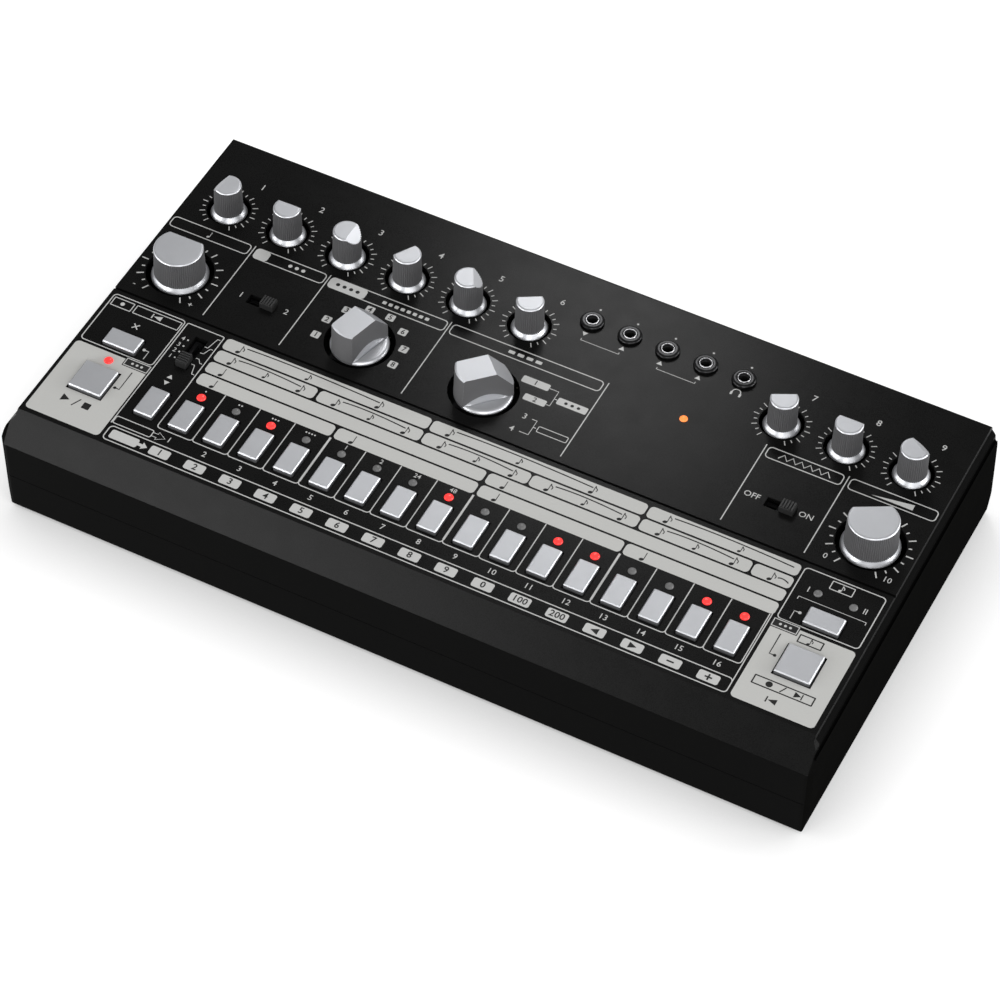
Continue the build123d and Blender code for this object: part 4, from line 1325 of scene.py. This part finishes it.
class DRUM_OT_turning_knobs(DressOperator, bpy.types.Operator):
    """Model the level knobs and the two large knobs"""

    bl_idname = "drum.turning_knobs"
    bl_label = "Turning knobs"

    def execute(self, context):
        sizes = control_settings()
        levels = [
            (f"level_knob_{number}", x, LEVEL_Y, angle)
            for number, (x, angle) in enumerate(zip(LEVEL_XS, LEVEL_ANGLES), start=1)
        ]
        dials = [(name, x, DIAL_Y, angle) for name, x, angle in DIALS]
        for knob, ribs, places in (
            (SMALL, sizes.small_ribs, levels),
            (LARGE, sizes.large_ribs, dials),
        ):
            pattern = new_mesh("knob_pattern", ribbed_knob(knob, ribs, sizes.rib_depth))
            for name, x, y, angle in places:
                turn = Matrix.Translation((x, y, 0)) @ Matrix.Rotation(-radians(angle), 4, "Z")
                thing = place_mesh(
                    pattern.copy(),
                    f"{name}_cap",
                    name,
                    KNOB_FINISHES,
                    [name],
                    PANEL @ turn,
                    40,
                )
                flat_faces(thing)
            bpy.data.meshes.remove(pattern)
        return {"FINISHED"}


SELECTOR_R = 10.45
SELECTOR_TOP = 12.3
SELECTOR_BOTTOM = -1.2
SELECTOR_LEDGE = 0.7
SELECTOR_BAR = 9.7
SELECTOR_GROOVE = 5.75
SELECTOR_CHORD = 3.0
SELECTOR_SLOPE = 50.0
SELECTOR_REACH = 14.0
SCOOP_ROWS = 24
SCOOP_START = -8.4
SCOOP_LENGTH = 15.4
SCOOP_MIDDLE = -0.7
SCOOP_RISE = 4.6


def boolean(shape, cutter, operation="DIFFERENCE"):
    """Cut one bmesh by another with a Boolean modifier, and apply it."""
    bodies = [
        new_object(name, new_mesh(name, part))
        for name, part in (("blank", shape), ("cutter", cutter))
    ]
    modifier = bodies[0].modifiers.new("cut", "BOOLEAN")
    modifier.operation = operation
    modifier.solver = "EXACT"
    modifier.object = bodies[1]
    mesh = final_mesh(bodies[0])
    made = bmesh.new()
    made.from_mesh(mesh)
    bpy.data.meshes.remove(mesh)
    for thing in bodies:
        used = thing.data
        bpy.data.objects.remove(thing)
        bpy.data.meshes.remove(used)
    return made


def prism(section, reach):
    """Bar along y with this section, closed at both ends."""
    shape = bmesh.new()
    face = shape.faces.new([shape.verts.new((x, -reach, z)) for x, z in section])
    made = bmesh.ops.extrude_face_region(shape, geom=[face], use_keep_orig=True)
    far = [part for part in made["geom"] if isinstance(part, bmesh.types.BMVert)]
    bmesh.ops.translate(shape, vec=(0, 2 * reach, 0), verts=far)
    bmesh.ops.recalc_face_normals(shape, faces=shape.faces)
    return shape


def selector_shape():
    """Pointer bar with scooped sides on a round ledge with a groove along the bar."""
    tilt = radians(SELECTOR_SLOPE)
    bar = turned(
        [
            (0, SELECTOR_TOP),
            (SELECTOR_R - 0.95, SELECTOR_TOP),
            (SELECTOR_R - 0.4, SELECTOR_TOP - 0.5),
            (SELECTOR_R, SELECTOR_BOTTOM + 0.6),
            (SELECTOR_R - 0.15, SELECTOR_BOTTOM),
            (0, SELECTOR_BOTTOM),
        ],
        ROUND_STEPS,
    )
    cut_off(bar, (0, SELECTOR_CHORD, SELECTOR_TOP), (0, sin(tilt), cos(tilt)))
    half = SELECTOR_BAR / 2
    sides = bmesh.new()
    grooves = bmesh.new()
    for side in (-1, 1):
        wall = (
            (half - 0.05, 20),
            (half + 0.15, -0.5),
            (half + 0.15, -4),
            (SELECTOR_REACH, -4),
            (SELECTOR_REACH, 20),
        )
        join(sides, prism([(side * x, z) for x, z in wall], SELECTOR_REACH))
        bed = SELECTOR_LEDGE - 0.7
        groove = (
            (half, 2.0),
            (half, bed),
            (SELECTOR_GROOVE - 0.1, bed),
            (SELECTOR_GROOVE + 0.3, SELECTOR_LEDGE + 0.1),
            (SELECTOR_GROOVE + 0.3, 2.0),
        )
        join(grooves, prism([(side * x, z) for x, z in groove], SELECTOR_REACH))
    ledge = turned(
        [
            (0, SELECTOR_LEDGE + 0.05),
            (half, SELECTOR_LEDGE + 0.05),
            (SELECTOR_R - 1.3, SELECTOR_LEDGE - 0.35),
            (SELECTOR_R - 0.75, SELECTOR_LEDGE - 0.5),
            (SELECTOR_R - 0.3, SELECTOR_LEDGE - 0.85),
            (SELECTOR_R, SELECTOR_LEDGE - 1.4),
            (SELECTOR_R, SELECTOR_BOTTOM + 0.1),
            (SELECTOR_R - 0.15, SELECTOR_BOTTOM),
            *shaft(SELECTOR_BOTTOM),
        ],
        ROUND_STEPS,
    )
    # the ledge's outer rim takes the lighter rim paint, a painted highlight
    for face in ledge.faces:
        if face.calc_center_median().xy.length > SELECTOR_R - 1.2:
            face.material_index = 2
    cap = boolean(bar, sides)
    cap.normal_update()
    # the bar's upright walls take the darker side paint, a painted shade
    for face in cap.faces:
        if abs(face.normal.z) < 0.3:
            face.material_index = 1
    join(cap, boolean(ledge, grooves))
    for side in (-1, 1):
        join(cap, scoop(side, half))
    return cap


def scoop(side, wall):
    """Hollow sweep from the side of the bar down to the groove, highest in the middle."""
    shape = bmesh.new()
    low = SELECTOR_LEDGE - 0.6
    rows = []
    for index in range(SCOOP_ROWS + 1):
        along = SCOOP_START + SCOOP_LENGTH * index / SCOOP_ROWS
        rise = SCOOP_RISE * (1 - ((along - SCOOP_MIDDLE) / (SCOOP_LENGTH / 2)) ** 2)
        reach = SELECTOR_GROOVE - 0.15 - wall
        section = (
            (wall - 0.3, low),
            (SELECTOR_GROOVE - 0.15, low),
            (wall + reach * 0.58, low + rise * 0.16 + 0.02),
            (wall + reach * 0.3, low + rise * 0.42 + 0.04),
            (wall - 0.02, low + rise + 0.06),
            (wall - 0.3, low + rise + 0.06),
        )
        rows.append([shape.verts.new((side * x, along, z)) for x, z in section])
    for first, second in zip(rows, rows[1:]):
        for corner, start in enumerate(first):
            after = (corner + 1) % len(first)
            shape.faces.new((start, first[after], second[after], second[corner]))
    shape.faces.new(rows[0])
    shape.faces.new(rows[-1])
    bmesh.ops.recalc_face_normals(shape, faces=shape.faces)
    return shape


class DRUM_OT_selectors(DressOperator, bpy.types.Operator):
    """Model the two pointer selectors"""

    bl_idname = "drum.selectors"
    bl_label = "Pointer selectors"

    def execute(self, context):
        for name, x, angle in SELECTORS:
            shape = moved(selector_shape(), x, DIAL_Y, angle)
            thing = build_piece(
                shape,
                f"{name}_cap",
                name,
                KNOB_FINISHES,
                [name],
                sharp=28,
            )
            # the rounded edges take the lighter rim paint, a painted highlight
            bevel_modifier(thing, 0.4, 3, finish=2)
        return {"FINISHED"}


def bevel_modifier(thing, width, segments=2, finish=-1):
    """Round a piece's sharp edges by a width in millimetres."""
    modifier = thing.modifiers.new("edge rounding", "BEVEL")
    modifier.material = finish
    modifier.width = width * 0.001
    modifier.segments = segments
    modifier.limit_method = "ANGLE"
    modifier.angle_limit = radians(28.0)
    flat_faces(thing)


# ---- buttons, levers and lamps ----
BUTTON_W = 7.3
BUTTON_L = 12.75
BUTTON_TOP = 1.6
FLANGE_TOP = -2.6
FLANGE_T = 0.9
FLANGE_SPARE = 1.2


def stacked(width, depth, radius, levels):
    """Rounded block built up through levels of (height, inset, finish of the wall below)."""
    shape = rounded_face(width, depth, radius, levels[0][0])
    shape.faces.ensure_lookup_table()
    cap = shape.faces[0]
    inset = 0.0
    for height, wanted, finish in levels[1:]:
        spread = [(side - 2 * wanted) / (side - 2 * inset) for side in (width, depth)]
        cap = raise_cap(shape, cap, height, spread, finish)
        inset = wanted
    bmesh.ops.holes_fill(shape, edges=shape.edges[:], sides=0)
    bmesh.ops.recalc_face_normals(shape, faces=shape.faces)
    return shape


def button_shape(width, depth, edge):
    """Cap with a softly bevelled top and a flange under the panel."""
    # the walls and flange take the darker side paint, a painted shade, and the bevelled edge the
    # lighter rim paint, a painted highlight
    levels = (
        (FLANGE_TOP - FLANGE_T, 0.0, 1),
        (BUTTON_TOP - 0.5, 0.0, 1),
        (BUTTON_TOP - 0.42, 0.03, 2),
        (BUTTON_TOP - 0.05, edge, 2),
        (BUTTON_TOP, edge + 0.1, 2),
    )
    cap = stacked(width, depth, 0.4, levels)
    size = (width + FLANGE_SPARE, depth + FLANGE_SPARE)
    join(cap, block(*size, FLANGE_TOP - FLANGE_T, FLANGE_TOP, 1))
    return cap


class DRUM_OT_buttons(DressOperator, bpy.types.Operator):
    """Model the push buttons"""

    bl_idname = "drum.buttons"
    bl_label = "Push buttons"

    def execute(self, context):
        edge = control_settings().button_edge
        places = [
            (f"step_button_{number:02d}", x, BUTTON_Y, BUTTON_W, BUTTON_L)
            for number, x in enumerate(STEP_XS, start=1)
        ]
        places += [
            ("function_button", FUNCTION_X, BUTTON_Y, BUTTON_W, BUTTON_L),
            ("clear_button", -END_BUTTON_X, UPPER_BUTTON_Y, BUTTON_L, BUTTON_W),
            ("group_button", END_BUTTON_X, UPPER_BUTTON_Y, BUTTON_L, BUTTON_W),
            ("start_button", -END_BUTTON_X, BUTTON_Y, BUTTON_L, BUTTON_L),
            ("write_button", END_BUTTON_X, BUTTON_Y, BUTTON_L, BUTTON_L),
        ]
        for name, x, y, width, depth in places:
            thing = build_piece(
                moved(button_shape(width, depth, edge), x, y),
                f"{name}_cap",
                name,
                ["button_grey", "button_side", "knob_rim"],
                [name],
                sharp=14,
            )
            flat_faces(thing)
        return {"FINISHED"}


# slots and slide levers, heights from the panel's surface
SLOT_L = 11.0
SCALE_SLOT_L = 15.3
LEVER_L = 5.2
LEVER_W = 4.0
LEVER_TOP = 2.9
LEVER_RIBS = 5
LEVER_PLATE_TOP = -2.6
LEVER_PLATE_UNDER = -3.6
LEVER_END = -6.2
SLOT_GAP = 0.2


def lever_shape():
    """Ribbed lever that slides along its own x axis."""
    lever = bmesh.new()
    join(lever, block(LEVER_L, LEVER_W, LEVER_PLATE_UNDER - 0.1, LEVER_TOP - 0.55))
    pitch = LEVER_L / LEVER_RIBS
    for index in range(LEVER_RIBS):
        rib = block(pitch * 0.58, LEVER_W - 0.1, LEVER_TOP - 0.6, LEVER_TOP)
        join(lever, moved(rib, pitch * (index - LEVER_RIBS // 2), 0))
    join(lever, block(LEVER_L + 3.2, LEVER_W + 3.2, LEVER_PLATE_UNDER, LEVER_PLATE_TOP))
    join(lever, block(LEVER_L, 3.0, LEVER_END, LEVER_PLATE_UNDER))
    return lever


class DRUM_OT_levers(DressOperator, bpy.types.Operator):
    """Model the slide levers"""

    bl_idname = "drum.levers"
    bl_label = "Slide levers"

    def execute(self, context):
        side_rest = SLOT_L / 2 - SLOT_GAP - LEVER_L / 2
        scale_rest = SCALE_SLOT_L / 2 - SLOT_GAP - LEVER_L / 2
        for name, x, y, angle in (
            ("select_slider", -SIDE_SLOT_X + side_rest, DIAL_Y, 0),
            ("on_off_slider", SIDE_SLOT_X + side_rest, DIAL_Y, 0),
            ("scale_slider", SCALE_SLOT[0], SCALE_SLOT[1] - scale_rest, 90),
        ):
            thing = build_piece(
                moved(lever_shape(), x, y, angle),
                f"{name}_lever",
                name,
                ["lever_black"],
                [name],
            )
            bevel_modifier(thing, 0.1)
        return {"FINISHED"}


# dome of a lamp: radius as a share, and height
DOME = ((0, 0.9), (0.42, 0.83), (0.76, 0.6), (0.94, 0.3), (1.0, 0.0), (0, 0.0))


class DRUM_OT_lamps(DressOperator, bpy.types.Operator):
    """Model the indicator lamps"""

    bl_idname = "drum.lamps"
    bl_label = "Indicator lamps"

    def execute(self, context):
        rows = {True: [], False: []}
        for step, x in enumerate(STEP_XS, start=1):
            rows[step in LIT_STEPS].append((x, LED_ROW_Y))
        radius = control_settings().lamp_radius
        for name, finish, share, places in (
            ("lit_leds", "red_lamp", 1.1, rows[True] + [(START_LED_X, LED_ROW_Y)]),
            ("unlit_leds", "grey_lamp", 1.0, rows[False] + GROUP_LEDS),
            ("amber_led", "amber_lamp", 0.98, [AMBER_LED]),
        ):
            reach = radius * share
            group = bmesh.new()
            for x, y in places:
                dome = turned([(part * reach, height) for part, height in DOME], 28)
                join(group, moved(dome, x, y))
            build_piece(group, f"{name}_domes", "base", [finish], [name], sharp=60)
        return {"FINISHED"}


# ---- sockets ----
JACK_END = -10.0
JACK_FLOOR = ((0, JACK_END + 0.4), (2.0, JACK_END + 0.4), (2.0, JACK_END), (0, JACK_END))
PANEL_UNDER = -2.5
JACK_COLLAR = (
    (2.42, 0.0),
    (2.42, 1.3),
    (2.6, 1.5),
    (3.3, 1.6),
    (3.85, 1.5),
    (4.2, 1.2),
    (4.35, 0.9),
    (4.35, 0.0),
)
JACK_THROAT = (
    (1.85, JACK_END),
    (1.85, 0.3),
    (2.3, 0.3),
    (2.3, PANEL_UNDER),
    (4.2, PANEL_UNDER),
    (4.2, JACK_END),
)
JACK_LIP = ((2.05, 0.3), (2.05, 1.62), (2.1, 1.7), (2.25, 1.7), (2.38, 1.5), (2.38, 0.3))


class DRUM_OT_panel_jacks(DressOperator, bpy.types.Operator):
    """Model the jack sockets on the panel, their nuts and the nut of the large output socket"""

    bl_idname = "drum.panel_jacks"
    bl_label = "Jacks and nuts"

    def execute(self, context):
        nuts = bmesh.new()
        jacks = bmesh.new()
        for x in JACK_XS:
            join(nuts, ring(JACK_COLLAR, x, JACK_Y, 56))
            join(jacks, ring(JACK_THROAT, x, JACK_Y))
            join(jacks, ring(JACK_LIP, x, JACK_Y, finish=1))
            join(jacks, moved(turned(JACK_FLOOR), x, JACK_Y))
        join(nuts, output_nut())
        build_piece(
            jacks,
            "panel_jack_sockets",
            "base",
            ["socket_black", "dull_metal"],
            ["panel_jacks"],
        )
        build_piece(
            nuts,
            "jack_nut_set",
            "base",
            ["nut_black", "bright_metal"],
            ["jack_nuts"],
        )
        return {"FINISHED"}


def output_nut():
    """Chamfered hexagon nut of the large output socket, in panel coordinates."""
    corner, height = 6.8, 2.0
    blank = bmesh.new()
    bmesh.ops.create_cone(
        blank, cap_ends=True, segments=6, radius1=corner, radius2=corner, depth=height
    )
    bmesh.ops.translate(blank, vec=(0, 0, height / 2), verts=blank.verts)
    chamfer = turned([(0, -1), (7.5, -1), (7.5, 1.3), (6.1, 2.0), (6.1, 2.5), (0, 2.5)], 64)
    nut = boolean(moved(blank, 0, 0, 30.0), chamfer, "INTERSECT")
    nut = boolean(nut, turned([(0, -2), (4.85, -2), (4.85, 4), (0, 4)]))
    moved(paint(nut, 1), *OUTPUT_AT)
    bmesh.ops.transform(nut, matrix=PANEL.inverted() @ REAR, verts=nut.verts)
    return nut


def lining(inner, outer, rise, depth):
    """Profile of a ring that lies on a face and lines the bore behind it."""
    return (
        (inner, -depth),
        (inner, rise - 0.12),
        (inner + 0.12, rise),
        (outer - 0.15, rise),
        (outer, rise - 0.15),
        (outer, -0.05),
        (inner + 0.06, -0.05),
        (inner + 0.06, -depth),
    )


# rings of the rear sockets: inner and outer radius, rise and depth; then turned profiles
REAR_JACK_RING = (1.7, 2.9, 0.4, 9.5)
SUPPLY_RING = (2.75, 3.3, 0.15, 9.0)
OUTPUT_RING = (3.1, 4.86, 2.35, 20.0)
SUPPLY_PIN = ((0, -1.0), (0.7, -1.1), (1.0, -1.5), (1.0, -9.4), (0, -9.4))
ROUND_SHIELD = ((6.1, -5.0), (6.1, -0.3), (6.2, -0.2), (6.45, -0.2), (6.5, -0.3), (6.5, -5.0))
ROUND_DISC = ((0, -1.4), (5.9, -1.4), (6.1, -1.6), (6.1, -2.4), (0, -2.4))
PIN_CIRCLE = 4.2
# black disc laid in each pin hole of a round socket: painted shade in place of the hole
PIN_MOUTH = ((0, -1.36), (0.62, -1.36), (0.62, -1.5), (0, -1.5))
PIN_RIM = ((0.6, -1.5), (0.6, -1.3), (0.85, -1.3), (0.85, -1.5))


class DRUM_OT_rear_sockets(DressOperator, bpy.types.Operator):
    """Model the metal rings, pins and contacts of the rear sockets"""

    bl_idname = "drum.rear_sockets"
    bl_label = "Rear sockets"

    def execute(self, context):
        metal_parts = bmesh.new()
        for x in REAR_JACK_XS:
            join(metal_parts, ring(lining(*REAR_JACK_RING), x, REAR_JACK_Y))
        join(metal_parts, ring(lining(*SUPPLY_RING), *SUPPLY_AT))
        join(metal_parts, moved(turned(SUPPLY_PIN, 24), *SUPPLY_AT))
        join(metal_parts, ring(lining(*OUTPUT_RING), *OUTPUT_AT))
        for x in ROUND_XS:
            join(metal_parts, ring(ROUND_SHIELD, x, ROUND_Y, 56))
        self.data_socket(metal_parts)
        build_piece(
            metal_parts,
            "rear_socket_metal",
            "base",
            ["bright_metal", "contact_gold"],
            place=REAR,
        )
        inserts = bmesh.new()
        for x in ROUND_XS:
            self.round_insert(inserts, x)
        tongue = block(5.6, 3.0, -8.8, -1.2)
        join(inserts, moved(tongue, *DATA_AT))
        build_piece(
            inserts,
            "rear_socket_inserts",
            "base",
            ["socket_black", "hole_black", "contact_gold"],
            place=REAR,
        )
        return {"FINISHED"}

    def data_socket(self, target):
        """Sheet-metal shell and the four contacts of the data socket."""
        x, y = DATA_AT
        sheet = 0.3
        ends = (-8.6, -0.1)
        for side in (-1, 1):
            join(target, moved(block(8.3, sheet, *ends), x, y + side * 3.7))
            join(target, moved(block(sheet, 7.6, *ends), x + side * 4.05, y))
            for column in (-1, 1):
                contact = block(1.0, 0.12, -8.0, -1.6, 1)
                join(target, moved(contact, x + column * 1.25, y + side * 1.55))

    def round_insert(self, target, x):
        """Disc and key of a round socket, with five black discs that stand for its holes as painted
        shade, each in a contact ring.
        """
        join(target, moved(turned(ROUND_DISC), x, ROUND_Y))
        join(target, moved(block(1.9, 1.2, -2.0, -0.3), x, ROUND_Y - 5.55))
        for turn in (-90, -45, 0, 45, 90):
            hole_x = x + PIN_CIRCLE * sin(radians(turn))
            hole_y = ROUND_Y + PIN_CIRCLE * cos(radians(turn))
            join(target, moved(turned(PIN_MOUTH, 20, 1), hole_x, hole_y))
            join(target, ring(PIN_RIM, hole_x, hole_y, 20, 2))


ROCKER_MARK_X = 4.1
ROCKER_MARK_RISE = 2.97
HOOP = ((1.05, -0.05), (1.05, 0.06), (1.55, 0.06), (1.55, -0.05))


class DRUM_OT_power_marks(DressOperator, bpy.types.Operator):
    """Print the bar and the ring on the two halves of the rocker"""

    bl_idname = "drum.power_marks"
    bl_label = "Rocker marks"

    def execute(self, context):
        marks = bmesh.new()
        lean = Matrix.Rotation(radians(ROCKER_LEAN), 4, "Z")
        bar = block(0.55, 3.0, -0.05, 0.06)
        for side, shape in ((-1, bar), (1, ring(HOOP, 0, 0))):
            spot = ROCKER_PIVOT + lean @ Vector((side * ROCKER_MARK_X, ROCKER_MARK_RISE, 0.0))
            turn = Matrix.Rotation(radians(ROCKER_LEAN + side * ROCKER_SLOPE), 4, "Z")
            place = Matrix.Translation(spot) @ turn @ REAR_TURN
            bmesh.ops.transform(shape, matrix=place, verts=shape.verts)
            join(marks, shape)
        build_piece(
            marks,
            "power_switch_marks",
            "power_switch",
            ["white_ink"],
            place=MILLIMETRE,
        )
        return {"FINISHED"}


# ---- fasteners: case places from the centre, board places on the panel ----
CASE_SCREWS = [(x, y) for x in (-144.5, 144.5) for y in (-68.0, 60.0)]
CASE_SCREW_SEAT = 4.2
CASE_SCREW_TURN = 20.0
BOARD_SCREWS = [(side * x, y) for x, y in ((96.55, 99.2), (89.3, 46.0)) for side in (-1, 1)]
BOARD_SCREW_SEAT = -11.6
BOARD_SCREW_TURN = 35.0
FEET = [(x, y) for x in (-128.0, 128.0) for y in (-62.0, 62.0)]
FOOT = ((0, 0.15), (2.0, 0.0), (5.3, 0.0), (5.8, 0.2), (6.0, 0.6), (6.0, 1.2), (0, 1.2))
SCREW_HEAD = ((0, -2.0), (2.2, -2.0), (2.65, -1.8), (2.8, -1.4), (2.8, 0.0), (1.5, 0.0))
THREAD_R = (1.5, 1.22)
THREAD_START = 0.6
THREAD_PITCH = 0.4
THREAD_POINTS = 17
CROSS = (3.2, 0.75)


class DRUM_OT_fasteners(DressOperator, bpy.types.Operator):
    """Model the cross-head screws and the rubber feet"""

    bl_idname = "drum.fasteners"
    bl_label = "Screws and feet"

    def execute(self, context):
        screws = bmesh.new()
        for x, y in CASE_SCREWS:
            join(screws, moved(screw_shape(), x, y, CASE_SCREW_TURN, CASE_SCREW_SEAT))
        to_case = MILLIMETRE.inverted() @ PANEL
        for x, y in BOARD_SCREWS:
            shape = moved(screw_shape(), x, y, BOARD_SCREW_TURN, BOARD_SCREW_SEAT)
            bmesh.ops.transform(shape, matrix=to_case, verts=shape.verts)
            join(screws, shape)
        build_piece(
            screws,
            "screw_set",
            "base",
            ["screw_steel"],
            ["screws"],
            MILLIMETRE,
        )
        feet = bmesh.new()
        for x, y in FEET:
            join(feet, moved(turned(FOOT), x, y))
        build_piece(
            feet,
            "rubber_foot_set",
            "base",
            ["foot_rubber"],
            ["rubber_feet"],
            MILLIMETRE,
        )
        return {"FINISHED"}


def screw_shape():
    """Screw with its seat at height 0 and its crossed head below."""
    thread = [
        (THREAD_R[step % 2], THREAD_START + THREAD_PITCH * step) for step in range(THREAD_POINTS)
    ]
    blank = turned([*SCREW_HEAD, *thread, (0.9, 8.0), (0, 8.0)], 32)
    screw = boolean(blank, block(*CROSS, -2.4, -1.0))
    return boolean(screw, block(*reversed(CROSS), -2.41, -1.01))


# ---- stage, in metres: name, place, aim, watts and size of each lamp ----
LAMPS = (
    ("back_lamp", (-0.12, 0.355, 0.417), (0.01, 0.05, 0.05), 0.5, 0.16),
    ("front_left_lamp", (-0.624, -1.339, 0.26), (0, 0, 0), 7.0, 0.6),
    ("left_lamp", (-1.271, -0.734, 0.312), (0, 0, 0), 6.4, 0.8),
    ("front_right_lamp", (0.538, -1.153, 0.795), (0, 0, 0), 5.7, 0.6),
    ("right_lamp", (1.102, -0.636, 0.795), (0, 0, 0), 3.2, 0.6),
    ("side_lamp", (1.455, 0.257, 0.26), (0, 0, 0), 8.2, 0.6),
    ("edge_lamp", (1.11, 0.91, 0.42), (0, 0, 0), 4.0, 0.5),
)
CAMERA_PLACE = Vector((0.3717, -0.8051, 0.98825))
CAMERA_RIGHT = Vector((0.890782, 0.453159, 0.033979))
CAMERA_UP = Vector((-0.357136, 0.651867, 0.668972))
CAMERA_BACK = Vector((0.281001, -0.608043, 0.742511))
SENSOR = 36.0
CLIP = (0.01, 50.0)
FLOOR_SIZE = 6.0
CONTACT_REACH = 0.03


class DRUM_OT_stage(DressOperator, bpy.types.Operator):
    """Set up the floor, the light and the camera"""

    bl_idname = "drum.stage"
    bl_label = "Stage"

    def execute(self, context):
        settings = context.scene.drum_stage
        self.floor(settings)
        self.world(settings)
        for name, place, aim, power, size in LAMPS:
            self.lamp(name, place, aim, power * settings.lamps, size)
        self.camera(settings)
        context.scene.view_settings.view_transform = "Standard"
        return {"FINISHED"}

    def floor(self, settings):
        """Pale floor that is lit, and shows as a plain backdrop with a contact shadow."""
        shape = bmesh.new()
        bmesh.ops.create_grid(shape, x_segments=2, y_segments=2, size=FLOOR_SIZE)
        mesh = new_mesh("floor", shape)
        floor = new_object("floor", mesh)
        finish = Finish("pale_floor")
        seen, mirrored, passed = (
            finish.node("LightPath", out=f"Is {kind} Ray")
            for kind in ("Camera", "Glossy", "Transmission")
        )
        shadow = finish.node("AmbientOcclusion", None, {"Distance": CONTACT_REACH}, "AO")
        backdrop = finish.mix(shadow, (0.1, 0.1, 0.1), (0.75, 0.75, 0.75))
        glow = finish.mix(mirrored + passed, (0, 0, 0), (0.5, 0.5, 0.5))
        fine = finish.noise(3.0)
        finish.surface(
            Base_Color=finish.mix(fine, shade(settings.floor, 0.99), settings.floor),
            Roughness=0.9,
            Specular_IOR_Level=0.1,
            Emission_Color=finish.mix(seen, glow, backdrop),
            Emission_Strength=1.0,
        )
        mesh.materials.append(finish.holder)

    def world(self, settings):
        """Even light from all sides."""
        finish = Finish("studio", "worlds")
        sky = finish.node("Background", None, {"Strength": settings.sky})
        bpy.context.scene.world = finish.output(sky, "OutputWorld")

    def lamp(self, name, place, aim, power, size):
        """Round soft lamp that points at its aim."""
        data = bpy.data.lights.new(name, "AREA")
        data.energy = power
        data.shape = "DISK"
        data.size = size
        thing = new_object(name, data)
        thing.visible_camera = False
        thing.location = place
        thing.rotation_euler = (Vector(aim) - Vector(place)).to_track_quat("-Z", "Y").to_euler()

    def camera(self, settings):
        """Camera at its fixed place and turn."""
        data = bpy.data.cameras.new("camera")
        data.lens = settings.lens
        data.sensor_width = SENSOR
        data.clip_start, data.clip_end = CLIP
        camera = new_object("camera", data)
        turn = Matrix((CAMERA_RIGHT, CAMERA_UP, CAMERA_BACK)).transposed()
        camera.matrix_world = Matrix.Translation(CAMERA_PLACE) @ turn.to_4x4()
        bpy.context.scene.camera = camera


# ---- add-on ----
class DRUM_PT_dressing(bpy.types.Panel):
    """Sidebar panel that lists the pieces."""

    bl_label = "Drum machine"
    bl_idname = "DRUM_PT_dressing"
    bl_space_type = "VIEW_3D"
    bl_region_type = "UI"
    bl_category = "Drum machine"

    def draw(self, context):
        for operator in OPERATORS:
            self.layout.operator(operator.bl_idname)
        for group in (
            context.scene.drum_finish,
            context.scene.drum_controls,
            context.scene.drum_stage,
        ):
            box = self.layout.box()
            for name in group.__annotations__:
                box.prop(group, name)


SETTINGS = {
    "drum_finish": DrumFinishSettings,
    "drum_controls": DrumControlSettings,
    "drum_stage": DrumStageSettings,
}
OPERATORS = (
    DRUM_OT_frame_finishes,
    DRUM_OT_light_plates,
    DRUM_OT_white_print,
    DRUM_OT_black_print,
    DRUM_OT_tag_lines,
    DRUM_OT_turning_knobs,
    DRUM_OT_selectors,
    DRUM_OT_buttons,
    DRUM_OT_levers,
    DRUM_OT_lamps,
    DRUM_OT_panel_jacks,
    DRUM_OT_rear_sockets,
    DRUM_OT_power_marks,
    DRUM_OT_fasteners,
    DRUM_OT_stage,
)


def register():
    for name, group in SETTINGS.items():
        bpy.utils.register_class(group)
        setattr(bpy.types.Scene, name, bpy.props.PointerProperty(type=group))
    for each in (*OPERATORS, DRUM_PT_dressing):
        bpy.utils.register_class(each)


def unregister():
    for each in reversed((*OPERATORS, DRUM_PT_dressing)):
        bpy.utils.unregister_class(each)
    for name, group in SETTINGS.items():
        delattr(bpy.types.Scene, name)
        bpy.utils.unregister_class(group)


def main():
    register()
    for operator in OPERATORS:
        getattr(bpy.ops.drum, operator.bl_idname.split(".")[1])()


if __name__ == "__main__":
    main()
